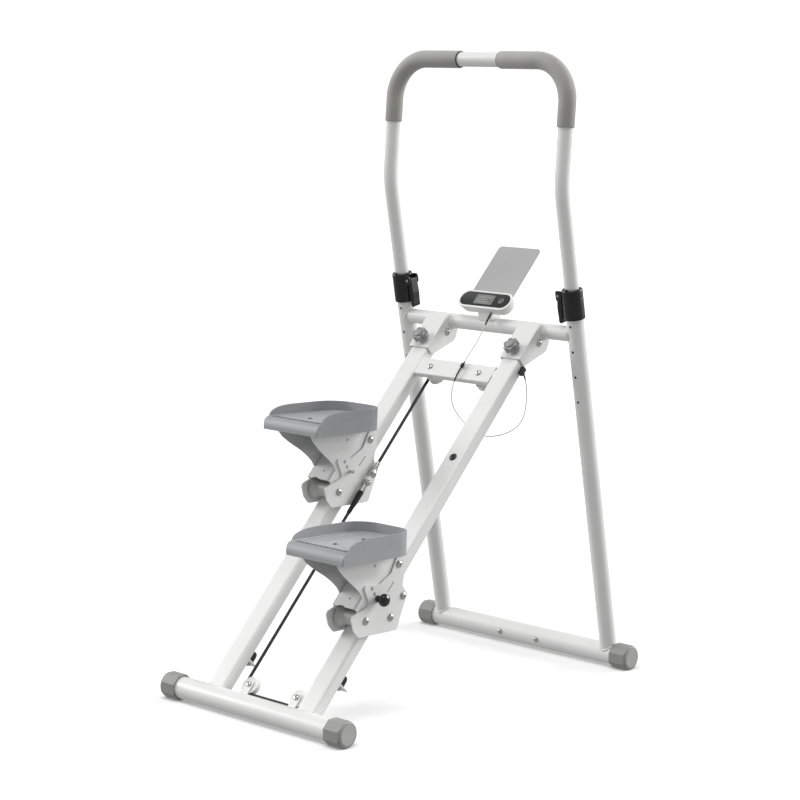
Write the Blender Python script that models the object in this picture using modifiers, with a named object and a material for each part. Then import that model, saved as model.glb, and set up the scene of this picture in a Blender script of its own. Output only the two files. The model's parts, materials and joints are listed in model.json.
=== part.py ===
"""Vertical climber: a folding A-frame with two sloping rails, two coupled pedal carriages and a handlebar.

Metres, +Z up. X runs across the machine, +Y runs from the rear foot bar to the front base bar.
The origin is at floor level in the middle of the footprint.
"""
from math import cos, pi, radians, sin, sqrt, tan

import bmesh
import bpy
from mathutils import Matrix, Vector

OBJECT_NAME = "vertical_climber"

# Footprint and foot bars
BAR_DEPTH = 0.878                     # distance between the two bars' axes
REAR_BAR_LENGTH = 0.540
FRONT_BAR_LENGTH = 0.634
BAR_RADIUS = 0.024
BAR_WALL = 0.002
CAP_ACROSS = 0.054                    # across the flats of the octagonal end caps
CAP_LENGTH = 0.0460
CAP_END = 0.003                       # thickness of the cap's closed end
BAR_Z = CAP_ACROSS / 2
REAR_Y = -BAR_DEPTH / 2
FRONT_Y = BAR_DEPTH / 2

# Legs and handlebar
LEG_X = 0.2515
LEG_LEAN = radians(11.2)
LEG_RADIUS = 0.019
LEG_WALL = 0.0017
LEG_TOP = 0.845                       # along the leg from the base bar's axis
LEG_HOLES = (0.7834, 0.7257, 0.6680, 0.6103)
LEG_HOLE_RADIUS = 0.0032
COLLAR_BOTTOM = 0.798
COLLAR_TOP = 0.866
COLLAR_RADIUS = 0.0235
HANDLE_RADIUS = 0.016
HANDLE_WALL = 0.0016
HANDLE_BOTTOM = 0.790
HANDLE_BEND = 1.0907
HANDLE_TOP_Y = 0.2465
HANDLE_TOP_Z = 1.3678
HANDLE_BEND_RADIUS = 0.25
HANDLE_CORNER_RADIUS = 0.090
GRIP_RADIUS = 0.0195
GRIP_END_X = 0.059
GRIP_END_Z = 1.2256
LEVER_PIVOT_S = 0.851                 # along the leg
LEVER_PIVOT_OUT = 0.0285              # from the leg's axis towards the middle

# Crossbar and fold brackets
CROSSBAR_Y = 0.2908
CROSSBAR_Z = 0.774
CROSSBAR_RADIUS = 0.017
HINGE_Y = 0.2696
HINGE_Z = 0.7496
BOLT_RADIUS = 0.004
BORE_GAP = 0.0003
BRACKET_INNER = 0.026                 # half the gap between the bracket's cheeks
BRACKET_SHEET = 0.003
BRACKET_PLATE_N = 0.0245              # underside of the top plate above the hinge axis
KNOB_D = -0.045
KNOB_RADIUS = 0.018

# Rails. D runs up the rail from the hinge axis, N is square to it, up and towards the user.
RAIL_ANGLE = radians(46.5)
RAIL_X = 0.1355
RAIL_WIDTH = 0.050
RAIL_DEPTH = 0.030
RAIL_CORNER = 0.007
RAIL_WALL = 0.0018
RAIL_N = 0.0085                       # the rail's axis above the hinge axis
RAIL_TOP_N = RAIL_N + RAIL_DEPTH / 2
RAIL_UNDER_N = RAIL_N - RAIL_DEPTH / 2
TOUCH = 0.0003                        # gap between pieces that touch

# Rope and pulleys
ROPE_RADIUS = 0.0035
ROPE_N = -0.0095
PULLEY_X = 0.0715
PULLEY_TURN = 0.018                   # radius of the rope's middle round a pulley
PULLEY_RIM = 0.021
PULLEY_HALF = 0.006
ROPE_X = PULLEY_X + PULLEY_TURN
UPPER_PULLEY_D = -0.116
LOWER_PULLEY_D = -0.957

# Carriages, measured from the pedal pivot along D and N
PIVOT_N = 0.040
RIGHT_PIVOT_D = -0.625
LEFT_PIVOT_D = -0.3395
ROLLER_D = -0.145
UNDER_ROLLERS_D = (-0.0415, -0.097)
UNDER_RADIUS = 0.011
UNDER_N = RAIL_UNDER_N - TOUCH - UNDER_RADIUS
ROLLER_WAIST = PIVOT_N - RAIL_TOP_N - TOUCH
ROLLER_FLANGE = 0.0265
ROLLER_HALF = 0.0290
PLATE_INNER = 0.0345
PLATE_SHEET = 0.0030
FLANGE_INNER = 0.0320                 # the pedal support's flanges lie between the side plates
FLANGE_SHEET = 0.0021
PLATE_OUTER = PLATE_INNER + PLATE_SHEET
WEB_N = 0.0780                        # the support's web lies parallel to the rail, this far above its axis
WEB_D = (-0.1436, -0.050)
PIN_RADIUS_FROM_PIVOT = 0.091
PIN_ANGLES = (177.8, 168.8, 159.4)    # pin holes in the side plates, degrees round from +D to +N
PIN_RADIUS = 0.0040
PIN_INNER_END = 0.0500
LUG_D = (-0.0565, -0.0820)              # where the upper and lower rope ends meet the carriage

# Pedal trays, from the pivot, before the tray's own pitch
TRAY_HALF_WIDTH = 0.082
TRAY_BOTTOM = 0.0272
TRAY_TOP = 0.0765
TRAY_FLOOR = 0.0535
TRAY_HEEL = -0.2176
TRAY_TOE = 0.0050
TRAY_WALL = 0.0030
TRAY_CORNER = 0.054
TRAY_PITCH = radians(2.0)             # the toe end lies this much lower than the heel

# Console
CONSOLE_TILT = radians(46)
CONSOLE_FACE_Y = 0.2752
CONSOLE_FACE_Z = 0.8322
REST_HALF = 0.0613                    # the phone rest, in the console face's own axes
REST_FOOT = 0.0120
REST_TOP = 0.1645
REST_DEPTH = -0.0120

COLOURS = {
    "white_paint": ((0.80, 0.80, 0.79, 1), 0.35, 0.0),
    "pedal_grey": ((0.27, 0.27, 0.29, 1), 0.45, 0.0),
    "cap_grey": ((0.16, 0.17, 0.17, 1), 0.50, 0.0),
    "foam_grey": ((0.28, 0.28, 0.26, 1), 0.80, 0.0),
    "knob_grey": ((0.30, 0.31, 0.31, 1), 0.45, 0.0),
    "roller_grey": ((0.50, 0.51, 0.48, 1), 0.40, 0.0),
    "black_plastic": ((0.015, 0.015, 0.017, 1), 0.40, 0.0),
    "black_rubber": ((0.02, 0.02, 0.02, 1), 0.80, 0.0),
    "rope_black": ((0.015, 0.015, 0.015, 1), 0.70, 0.0),
    "zinc": ((0.60, 0.60, 0.58, 1), 0.30, 1.0),
    "white_plastic": ((0.85, 0.85, 0.84, 1), 0.40, 0.0),
    "wire_white": ((0.62, 0.62, 0.61, 1), 0.45, 0.0),
    "plate_grey": ((0.42, 0.42, 0.42, 1), 0.50, 0.0),
}


def clear_scene():
    for obj in list(bpy.data.objects):
        bpy.data.objects.remove(obj, do_unlink=True)


def make_collection(name):
    collection = bpy.data.collections.new(name)
    bpy.context.scene.collection.children.link(collection)
    return collection


clear_scene()
PARTS = make_collection(OBJECT_NAME)
CUTTERS = make_collection(OBJECT_NAME + "_cutters")
MATERIALS = {}
for slot, (colour, roughness, metallic) in COLOURS.items():
    material = bpy.data.materials.new(slot)
    material.use_nodes = True
    shader = material.node_tree.nodes["Principled BSDF"]
    shader.inputs["Base Color"].default_value = colour
    shader.inputs["Roughness"].default_value = roughness
    shader.inputs["Metallic"].default_value = metallic
    MATERIALS[slot] = material


def make_empty(name, parent=None, location=(0, 0, 0), rotation=(0, 0, 0)):
    empty = bpy.data.objects.new(name, None)
    PARTS.objects.link(empty)
    empty.parent = parent
    empty.location = location
    empty.rotation_euler = rotation
    return empty


def add_part(name, mesh, slot, parent=None, location=(0, 0, 0), rotation=(0, 0, 0)):
    """One named sub-part; slot None makes a cutter."""
    obj = bpy.data.objects.new(name, mesh)
    if slot is None:
        CUTTERS.objects.link(obj)
        obj.hide_render = True
        obj.display_type = "WIRE"
    else:
        PARTS.objects.link(obj)
        mesh.materials.append(MATERIALS[slot])
        mesh.shade_smooth()
        mesh.set_sharp_from_angle(angle=radians(35))
    obj.parent = parent
    obj.location = location
    obj.rotation_euler = rotation
    return obj


def mesh_from_bmesh(name, bm):
    bmesh.ops.recalc_face_normals(bm, faces=bm.faces)
    mesh = bpy.data.meshes.new(name)
    bm.to_mesh(mesh)
    bm.free()
    return mesh


def mesh_from_curve(name, curve, weld=True):
    """The evaluated curve as a mesh, with its loose caps welded on."""
    holder = bpy.data.objects.new(name + "_curve", curve)
    bpy.context.scene.collection.objects.link(holder)
    graph = bpy.context.evaluated_depsgraph_get()
    mesh = bpy.data.meshes.new_from_object(holder.evaluated_get(graph))
    bpy.data.objects.remove(holder, do_unlink=True)
    bpy.data.curves.remove(curve)
    mesh.name = name
    if weld:
        bm = bmesh.new()
        bm.from_mesh(mesh)
        bmesh.ops.remove_doubles(bm, verts=bm.verts, dist=1e-5)
        bmesh.ops.recalc_face_normals(bm, faces=bm.faces)
        bm.to_mesh(mesh)
        bm.free()
    return mesh


def box_mesh(name, low, high, bevel=0.0, segments=2):
    size = [high[i] - low[i] for i in range(3)]
    centre = [(high[i] + low[i]) / 2 for i in range(3)]
    bm = bmesh.new()
    bmesh.ops.create_cube(bm, size=1.0)
    bmesh.ops.scale(bm, vec=size, verts=bm.verts)
    bmesh.ops.translate(bm, vec=centre, verts=bm.verts)
    if bevel:
        bmesh.ops.bevel(bm, geom=bm.edges, offset=bevel, segments=segments, profile=0.5, affect="EDGES")
    return mesh_from_bmesh(name, bm)


AXIS_TURNS = {
    "X": Matrix.Rotation(pi / 2, 4, "Y"),
    "Y": Matrix.Rotation(-pi / 2, 4, "X"),
    "Z": Matrix.Identity(4),
}


def cylinder_mesh(name, radius, low, high, axis="Z", centre=(0, 0), sides=16):
    """A cylinder from low to high along an axis; centre is its place on the other two axes, in X, Y, Z order."""
    bm = bmesh.new()
    bmesh.ops.create_cone(bm, cap_ends=True, segments=sides, radius1=radius, radius2=radius, depth=high - low)
    bmesh.ops.transform(bm, matrix=AXIS_TURNS[axis], verts=bm.verts)
    place = list(centre)
    place.insert("XYZ".index(axis), (low + high) / 2)
    bmesh.ops.translate(bm, vec=place, verts=bm.verts)
    return mesh_from_bmesh(name, bm)


def turned_mesh(name, profile, sides=24, axis="Z", centre=(0, 0, 0)):
    """A turned solid from (radius, height) points, with its axis along X, Y or Z."""
    bm = bmesh.new()
    rings = []
    for radius, height in profile:
        if radius < 1e-6:
            rings.append([bm.verts.new((0, 0, height))])
            continue
        angles = [2 * pi * i / sides for i in range(sides)]
        rings.append([bm.verts.new((radius * cos(a), radius * sin(a), height)) for a in angles])
    closed = len(rings[0]) > 1 and len(rings[-1]) > 1
    pairs = list(zip(rings, rings[1:]))
    if closed:
        pairs.append((rings[-1], rings[0]))
    for first, second in pairs:
        for i in range(sides):
            j = (i + 1) % sides
            if len(first) == 1:
                bm.faces.new((first[0], second[j], second[i]))
            elif len(second) == 1:
                bm.faces.new((first[i], first[j], second[0]))
            else:
                bm.faces.new((first[i], first[j], second[j], second[i]))
    bmesh.ops.transform(bm, matrix=Matrix.Translation(centre) @ AXIS_TURNS[axis], verts=bm.verts)
    return mesh_from_bmesh(name, bm)


def arc(centre, radius, start, end, steps):
    """Points on an arc, angles in degrees."""
    turns = [radians(start + (end - start) * i / steps) for i in range(steps + 1)]
    return [(centre[0] + radius * cos(a), centre[1] + radius * sin(a)) for a in turns]


def rounded_outline(corners, steps=4):
    """A closed outline from (u, v, corner radius) points."""
    points = []
    count = len(corners)
    for i, (u, v, radius) in enumerate(corners):
        here = Vector((u, v))
        before = (Vector(corners[i - 1][:2]) - here).normalized()
        after = (Vector(corners[(i + 1) % count][:2]) - here).normalized()
        if radius <= 0:
            points.append(here)
            continue
        half = before.angle(after) / 2
        reach = radius / tan(half)
        middle = here + (before + after).normalized() * (radius / sin(half))
        start = here + before * reach - middle
        end = here + after * reach - middle
        turn = start.angle_signed(end)
        for k in range(steps + 1):
            angle = -turn * k / steps
            points.append(middle + Matrix.Rotation(angle, 2) @ start)
    return [tuple(p) for p in points]


def plate_mesh(name, outline, thickness, holes=()):
    """A flat plate in its own XY plane, centred on Z, with any inner outlines cut out."""
    curve = bpy.data.curves.new(name, "CURVE")
    curve.dimensions = "2D"
    curve.fill_mode = "BOTH"
    curve.extrude = thickness / 2
    for loop in [outline, *holes]:
        spline = curve.splines.new("POLY")
        spline.points.add(len(loop) - 1)
        for point, (u, v) in zip(spline.points, loop):
            point.co = (u, v, 0, 1)
        spline.use_cyclic_u = True
    return mesh_from_curve(name, curve)


def circle(centre, radius, sides=12):
    return arc(centre, radius, 0, 360 - 360 / sides, sides - 1)


# A plate's own X and Y become D and N of its parent, and its thickness runs along X.
PLATE_TURN = (pi / 2, 0, pi / 2)


def side_plate(name, outline, low_x, high_x, holes=()):
    """A plate in the D-N plane between two X values, as a mesh in the parent's axes."""
    mesh = plate_mesh(name, outline, high_x - low_x, holes)
    turn = Matrix.Rotation(pi / 2, 4, "Z") @ Matrix.Rotation(pi / 2, 4, "X")
    mesh.transform(Matrix.Translation(((low_x + high_x) / 2, 0, 0)) @ turn)
    return mesh


def fillet_path(corners, steps=6):
    """A 3-D path through (point, corner radius) pairs, with each corner rounded."""
    points = []
    for i, (place, radius) in enumerate(corners):
        here = Vector(place)
        if radius <= 0:
            points.append(here)
            continue
        before = (Vector(corners[i - 1][0]) - here).normalized()
        after = (Vector(corners[i + 1][0]) - here).normalized()
        half = before.angle(after) / 2
        middle = here + (before + after).normalized() * (radius / sin(half))
        start = here + before * (radius / tan(half)) - middle
        normal = before.cross(after)
        turn = pi - 2 * half
        for k in range(steps + 1):
            points.append(middle + Matrix.Rotation(-turn * k / steps, 3, normal) @ start)
    return points


def tube_curve(name, points, radius, sides, capped):
    curve = bpy.data.curves.new(name, "CURVE")
    curve.dimensions = "3D"
    curve.bevel_depth = radius
    curve.bevel_resolution = (sides - 4) // 2
    curve.use_fill_caps = capped
    spline = curve.splines.new("POLY")
    spline.points.add(len(points) - 1)
    for point, place in zip(spline.points, points):
        point.co = (*place, 1)
    return curve


def solid_tube(name, points, radius, sides=8):
    return mesh_from_curve(name, tube_curve(name, points, radius, sides, True))


def hollow_tube(name, points, radius, wall, slot, sides=16, parent=None):
    """A bent tube with open ends."""
    mesh = mesh_from_curve(name, tube_curve(name, points, radius, sides, False))
    obj = add_part(name, mesh, slot, parent)
    shell = obj.modifiers.new("wall", "SOLIDIFY")
    shell.thickness = wall
    shell.offset = -1
    shell.use_even_offset = True
    return obj


def ring_mesh(name, outer, inner, low, high, axis="Z", sides=24):
    """A straight round tube from low to high along an axis."""
    profile = [(outer, low), (outer, high), (inner, high), (inner, low)]
    return turned_mesh(name, profile, sides, axis)


def joined(target, others):
    """Unions other meshes into the target object."""
    for k, mesh in enumerate(others):
        helper = add_part(f"{target.name}_join_{k}", mesh, None, target.parent, target.location)
        helper.rotation_euler = target.rotation_euler
        union = target.modifiers.new(f"join_{k}", "BOOLEAN")
        union.operation = "UNION"
        union.object = helper
    return target


def cut(target, mesh, label):
    helper = add_part(f"{target.name}_cut_{label}", mesh, None, target.parent, target.location)
    helper.rotation_euler = target.rotation_euler
    difference = target.modifiers.new(f"cut_{label}", "BOOLEAN")
    difference.operation = "DIFFERENCE"
    difference.object = helper
    return target


def smoothstep(t):
    t = max(0.0, min(1.0, t))
    return t * t * (3 - 2 * t)


def sides_of(x):
    return (("left", -x), ("right", x))


# ---------------------------------------------------------------- foot bars

def octagon_cap(name, end_x, sign, bar_y):
    """A cup over the bar's end, octagonal outside and round inside, closed at the outer end."""
    across = CAP_ACROSS / 2
    corner = across / cos(pi / 8)
    start = end_x - sign * CAP_LENGTH
    low, high = sorted((start, end_x))
    bm = bmesh.new()
    bmesh.ops.create_cone(bm, cap_ends=True, segments=8, radius1=corner, radius2=corner, depth=high - low)
    bmesh.ops.rotate(bm, matrix=Matrix.Rotation(pi / 8, 3, "Z"), verts=bm.verts)
    bmesh.ops.bevel(
        bm,
        geom=[e for e in bm.edges if abs(e.verts[0].co.z - e.verts[1].co.z) < 1e-6],
        offset=0.0025, segments=2, profile=0.5, affect="EDGES",
    )
    bmesh.ops.transform(bm, matrix=AXIS_TURNS["X"], verts=bm.verts)
    bmesh.ops.translate(bm, vec=((low + high) / 2, 0, 0), verts=bm.verts)
    cap = add_part(name, mesh_from_bmesh(name, bm), "cap_grey", None, (0, bar_y, BAR_Z))
    mouth = sorted((start - sign * 0.01, end_x - sign * CAP_END))
    bore = cylinder_mesh(name + "_bore", BAR_RADIUS + TOUCH, mouth[0], mouth[1], "X", (0, 0), 24)
    return cut(cap, bore, "bore")


def foot_bar(name, length, bar_y):
    half = length / 2 - CAP_END - TOUCH
    mesh = ring_mesh(name, BAR_RADIUS, BAR_RADIUS - BAR_WALL, -half, half, "X")
    return add_part(name, mesh, "white_paint", None, (0, bar_y, BAR_Z))


rail_pivot = make_empty("rail_pivot", None, (0, HINGE_Y, HINGE_Z), (RAIL_ANGLE, 0, 0))


def to_rail(y, z):
    """World Y and Z as D and N."""
    dy, dz = y - HINGE_Y, z - HINGE_Z
    return dy * cos(RAIL_ANGLE) + dz * sin(RAIL_ANGLE), dz * cos(RAIL_ANGLE) - dy * sin(RAIL_ANGLE)


REAR_BAR_D, REAR_BAR_N = to_rail(REAR_Y, BAR_Z)


def rear_foot_bar():
    """The rear bar, with the two tabs and axle pins that hold the lower pulleys, in the rail's axes."""
    half = REAR_BAR_LENGTH / 2 - CAP_END - TOUCH
    mesh = ring_mesh("rear_foot_bar", BAR_RADIUS, BAR_RADIUS - BAR_WALL, -half, half, "X")
    mesh.transform(Matrix.Translation((0, REAR_BAR_D, REAR_BAR_N)))
    bar = add_part("rear_foot_bar", mesh, "white_paint", rail_pivot)
    tab_n = ROPE_N + PULLEY_HALF + 0.0006
    others = []
    for side, x in sides_of(PULLEY_X):
        start = REAR_BAR_D + 0.012
        outline = [(x - 0.013, start), *arc((x, LOWER_PULLEY_D), 0.013, 180, 0, 8), (x + 0.013, start)]
        tab = plate_mesh(f"pulley_tab_{side}", outline[::-1], BRACKET_SHEET)
        tab.transform(Matrix.Translation((0, 0, tab_n + BRACKET_SHEET / 2)))
        low = ROPE_N - PULLEY_HALF - 0.003
        pin = cylinder_mesh("pulley_pin", BOLT_RADIUS, low, tab_n + 0.006, "Z", (x, LOWER_PULLEY_D), 12)
        others += [tab, pin]
    return joined(bar, others)


def foot_bars():
    foot_bar("front_base_bar", FRONT_BAR_LENGTH, FRONT_Y)
    rear_foot_bar()
    for side, sign in (("left", -1), ("right", 1)):
        octagon_cap(f"front_cap_{side}", sign * FRONT_BAR_LENGTH / 2, sign, FRONT_Y)
        octagon_cap(f"rear_cap_{side}", sign * REAR_BAR_LENGTH / 2, sign, REAR_Y)


# ---------------------------------------------------------------- legs, collars and handlebar

def leg_frame(name, x):
    """An empty on a leg's axis at the base bar, with Z up along the leg and -Y towards the user."""
    return make_empty(name, None, (x, FRONT_Y, BAR_Z), (LEG_LEAN, 0, 0))


LEG_FRAMES = {side: leg_frame(f"leg_axis_{side}", x) for side, x in sides_of(LEG_X)}


def leg(side):
    mesh = ring_mesh(f"leg_{side}", LEG_RADIUS, LEG_RADIUS - LEG_WALL, 0.006, LEG_TOP, "Z")
    obj = add_part(f"leg_{side}", mesh, "white_paint", LEG_FRAMES[side])
    saddle = cylinder_mesh("saddle", BAR_RADIUS + TOUCH, -0.05, 0.05, "X", (0, 0), 32)
    cut(obj, saddle, "saddle")
    for k, s in enumerate(LEG_HOLES):
        hole = cylinder_mesh("hole", LEG_HOLE_RADIUS, -0.03, -0.005, "Y", (0, s), 10)
        cut(obj, hole, f"hole_{k}")
    return obj


def collar(side):
    """The black clamp at the leg's top: a stepped sleeve with two ears for the lever."""
    inward = 1 if side == "left" else -1
    leg_bore = LEG_RADIUS + TOUCH
    handle_bore = HANDLE_RADIUS + TOUCH
    profile = [
        (leg_bore, COLLAR_BOTTOM), (COLLAR_RADIUS - 0.001, COLLAR_BOTTOM),
        (COLLAR_RADIUS, COLLAR_BOTTOM + 0.001), (COLLAR_RADIUS, COLLAR_TOP - 0.003),
        (COLLAR_RADIUS - 0.003, COLLAR_TOP), (handle_bore, COLLAR_TOP),
        (handle_bore, LEG_TOP + TOUCH), (leg_bore, LEG_TOP + TOUCH),
    ]
    name = f"collar_{side}"
    obj = add_part(name, turned_mesh(name, profile, 20), "black_plastic", LEG_FRAMES[side])
    ears = []
    for y in (-0.0165, 0.0115):
        low_x, high_x = sorted((inward * 0.0185, inward * 0.0350))
        ears.append(box_mesh("ear", (low_x, y, LEVER_PIVOT_S - 0.011), (high_x, y + 0.005, LEVER_PIVOT_S + 0.011), 0.001, 1))
    pin = cylinder_mesh("pin", 0.0022, -0.0185, 0.0185, "Y", (inward * LEVER_PIVOT_OUT, LEVER_PIVOT_S), 10)
    return joined(obj, ears + [pin])


def lever(side):
    """The cam lever: it hangs down the collar's inner side and swings out about a pin along Y."""
    inward = 1 if side == "left" else -1
    hinge = make_empty(
        f"lever_hinge_{side}", LEG_FRAMES[side], (inward * LEVER_PIVOT_OUT, 0, LEVER_PIVOT_S)
    )
    outline = rounded_outline([
        (-0.0035 * inward, 0.0045, 0.0030), (0.0066 * inward, 0.0045, 0.0040),
        (0.0090 * inward, -0.030, 0.010), (0.0080 * inward, -0.064, 0.0045),
        (-0.0010 * inward, -0.064, 0.0040), (-0.0032 * inward, -0.030, 0.010),
    ], 3)
    if inward > 0:
        outline = outline[::-1]
    mesh = plate_mesh(f"clamp_lever_{side}", outline, 0.0210)
    mesh.transform(Matrix.Rotation(pi / 2, 4, "X"))
    obj = add_part(f"clamp_lever_{side}", mesh, "black_plastic", hinge)
    bore = cylinder_mesh("bore", 0.0022 + TOUCH, -0.03, 0.03, "Y", (0, 0), 10)
    return cut(obj, bore, "bore")


def leg_point(x, s):
    return Vector((x, FRONT_Y - s * sin(LEG_LEAN), BAR_Z + s * cos(LEG_LEAN)))


def handle_corners():
    left_low = leg_point(-LEG_X, HANDLE_BOTTOM)
    left_bend = leg_point(-LEG_X, HANDLE_BEND)
    left_top = Vector((-LEG_X, HANDLE_TOP_Y, HANDLE_TOP_Z))
    half = [(left_low, 0), (left_bend, HANDLE_BEND_RADIUS), (left_top, HANDLE_CORNER_RADIUS)]
    mirrored = [(Vector((-p.x, p.y, p.z)), r) for p, r in half[::-1]]
    return half + mirrored


def handlebar():
    hollow_tube("handlebar", fillet_path(handle_corners(), 4), HANDLE_RADIUS, HANDLE_WALL, "white_paint", 14)
    bend = leg_point(LEG_X, HANDLE_BEND)
    top = Vector((LEG_X, HANDLE_TOP_Y, HANDLE_TOP_Z))
    low = bend.lerp(top, (GRIP_END_Z - bend.z) / (top.z - bend.z))
    for side, sign in (("left", -1), ("right", 1)):
        corners = [
            (Vector((sign * low.x, low.y, low.z)), 0),
            (Vector((sign * top.x, top.y, top.z)), HANDLE_CORNER_RADIUS),
            (Vector((sign * GRIP_END_X, top.y, top.z)), 0),
        ]
        wall = GRIP_RADIUS - HANDLE_RADIUS - TOUCH
        hollow_tube(f"grip_{side}", fillet_path(corners, 4), GRIP_RADIUS, wall, "foam_grey", 14)


# ---------------------------------------------------------------- crossbar, brackets and hinge

BRACKET_OUTLINE = [
    (-0.068, BRACKET_PLATE_N + BRACKET_SHEET, 0.002), (-0.071, 0.006, 0.006), (-0.060, -0.002, 0.004),
    (0.003, -0.034, 0.014), (0.034, -0.022, 0.004), (0.034, BRACKET_PLATE_N + BRACKET_SHEET, 0.002),
]


def crossbar():
    """The tube between the legs, with the two folding brackets welded on, in the rail's axes."""
    centre = to_rail(CROSSBAR_Y, CROSSBAR_Z)
    half = LEG_X - LEG_RADIUS + 0.006
    mesh = ring_mesh("crossbar", CROSSBAR_RADIUS, CROSSBAR_RADIUS - 0.002, -half, half, "X")
    mesh.transform(Matrix.Translation((0, *centre)))
    frame = make_empty("bracket_frame", None, (0, HINGE_Y, HINGE_Z), (RAIL_ANGLE, 0, 0))
    bar = add_part("crossbar", mesh, "white_paint", frame)
    others = []
    outline = rounded_outline(BRACKET_OUTLINE, 2)
    bolt_hole = circle((0, 0), BOLT_RADIUS + BORE_GAP, 12)
    outer = BRACKET_INNER + BRACKET_SHEET
    for side, x in sides_of(RAIL_X):
        others.append(side_plate("cheek_a", outline, x - outer, x - BRACKET_INNER, [bolt_hole]))
        others.append(side_plate("cheek_b", outline, x + BRACKET_INNER, x + outer, [bolt_hole]))
        top_low = (x - outer + 0.0005, -0.0678, BRACKET_PLATE_N)
        top_high = (x + outer - 0.0005, 0.0330, BRACKET_PLATE_N + BRACKET_SHEET - 0.0001)
        others.append(box_mesh("top_plate", top_low, top_high))
        boss_low = BRACKET_PLATE_N + 0.001
        others.append(cylinder_mesh("boss", 0.0085, boss_low, boss_low + 0.0045, "Z", (x, KNOB_D), 12))
    joined(bar, others)
    for side, x in sides_of(RAIL_X):
        hole = cylinder_mesh("stud_hole", BOLT_RADIUS + BORE_GAP, 0.020, 0.040, "Z", (x, KNOB_D), 12)
        cut(bar, hole, f"stud_{side}")
    for side, x in sides_of(LEG_X):
        turn = Matrix.Rotation(LEG_LEAN - RAIL_ANGLE, 4, "X")
        leg_clear = cylinder_mesh("leg_clear", LEG_RADIUS + TOUCH, -0.05, 0.05, "Z", (0, 0), 24)
        leg_clear.transform(Matrix.Translation((x, *centre)) @ turn)
        cut(bar, leg_clear, f"leg_{side}")
    return bar


def bolt_mesh(name, low, high, head_radius=0.0065, head=0.0045, axis="X"):
    """A bolt with a domed head at its high end and a nut at its low end."""
    dome = [
        (0, low - 0.005), (0.0058, low - 0.005), (0.0058, low), (BOLT_RADIUS, low), (BOLT_RADIUS, high),
        (head_radius, high), (head_radius * 0.92, high + head * 0.55), (head_radius * 0.6, high + head * 0.9),
        (0, high + head),
    ]
    return turned_mesh(name, dome, 12, axis)


def hinge_bolts():
    outer = BRACKET_INNER + BRACKET_SHEET + TOUCH
    for side, x in sides_of(RAIL_X):
        mesh = bolt_mesh(f"hinge_bolt_{side}", -outer, outer)
        add_part(f"hinge_bolt_{side}", mesh, "zinc", rail_pivot, (x, 0, 0))


def star_knob(side, x):
    """A five-lobed hand knob with its threaded stud, turning about N."""
    spin = make_empty(f"knob_axis_{side}", rail_pivot, (x, KNOB_D, 0))
    lobes, steps = 5, 30
    outline = []
    for k in range(steps):
        angle = 2 * pi * k / steps
        radius = KNOB_RADIUS * (0.86 + 0.14 * cos(lobes * angle))
        outline.append((radius * cos(angle), radius * sin(angle)))
    base = BRACKET_PLATE_N + 0.0058
    mesh = plate_mesh(f"fold_knob_{side}", outline, 0.015)
    mesh.transform(Matrix.Translation((0, 0, base + 0.004 + 0.0075)))
    knob = add_part(f"fold_knob_{side}", mesh, "knob_grey", spin)
    neck = cylinder_mesh("neck", 0.0075, base, base + 0.006, "Z", (0, 0), 16)
    stud = cylinder_mesh("stud", BOLT_RADIUS, RAIL_TOP_N + TOUCH, base + 0.010, "Z", (0, 0), 12)
    crown = turned_mesh("crown", [
        (0, base + 0.016), (0.0125, base + 0.016), (0.0125, base + 0.0200), (0.010, base + 0.0215),
        (0, base + 0.0222),
    ], 20)
    return joined(knob, [neck, stud, crown])


# ---------------------------------------------------------------- rails, cross plate and pulleys

def rounded_rectangle(width, height, corner, steps=4):
    half_w, half_h = width / 2, height / 2
    corners = [(half_w, half_h), (-half_w, half_h), (-half_w, -half_h), (half_w, -half_h)]
    return rounded_outline([(u, v, corner) for u, v in corners], steps)


def rail_end_outline():
    """What is cut from the rail's upper end, so that it turns inside the bracket."""
    keep = [(-0.004, RAIL_TOP_N), (0.006, 0.0215), (0.0115, 0.0150), (0.0138, 0.006), (0.0132, -0.003), (0.0105, -0.010)]
    return keep + [(0.0105, -0.03), (0.06, -0.03), (0.06, 0.05), (-0.004, 0.05)]


def rail(side, x):
    """A rounded rectangular tube, with its bump-stop bracket on the underside."""
    start, end = REAR_BAR_D, 0.020
    outer = rounded_rectangle(RAIL_WIDTH, RAIL_DEPTH, RAIL_CORNER)
    inner = rounded_rectangle(RAIL_WIDTH - 2 * RAIL_WALL, RAIL_DEPTH - 2 * RAIL_WALL, RAIL_CORNER - RAIL_WALL)
    mesh = plate_mesh(f"rail_{side}", outer, end - start, [inner])
    mesh.transform(Matrix.Translation((x, (start + end) / 2, RAIL_N)) @ Matrix.Rotation(pi / 2, 4, "X"))
    obj = add_part(f"rail_{side}", mesh, "white_paint", rail_pivot)
    stop = [
        box_mesh("stop_plate", (x - 0.016, -0.9005, -0.0400), (x + 0.016, -0.8975, RAIL_UNDER_N + 0.0009)),
        box_mesh("stop_foot", (x - 0.016, -0.9275, RAIL_UNDER_N - 0.0025), (x + 0.016, -0.8990, RAIL_UNDER_N + 0.0008)),
    ]
    joined(obj, stop)
    saddle = cylinder_mesh("saddle", BAR_RADIUS + TOUCH, x - 0.05, x + 0.05, "X", (REAR_BAR_D, REAR_BAR_N), 32)
    cut(obj, saddle, "saddle")
    cut(obj, side_plate("end", rail_end_outline(), x - 0.05, x + 0.05), "end")
    bolt_hole = cylinder_mesh("hole", BOLT_RADIUS + BORE_GAP, x - 0.05, x + 0.05, "X", (0, 0), 16)
    cut(obj, bolt_hole, "hinge")
    return obj


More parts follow.
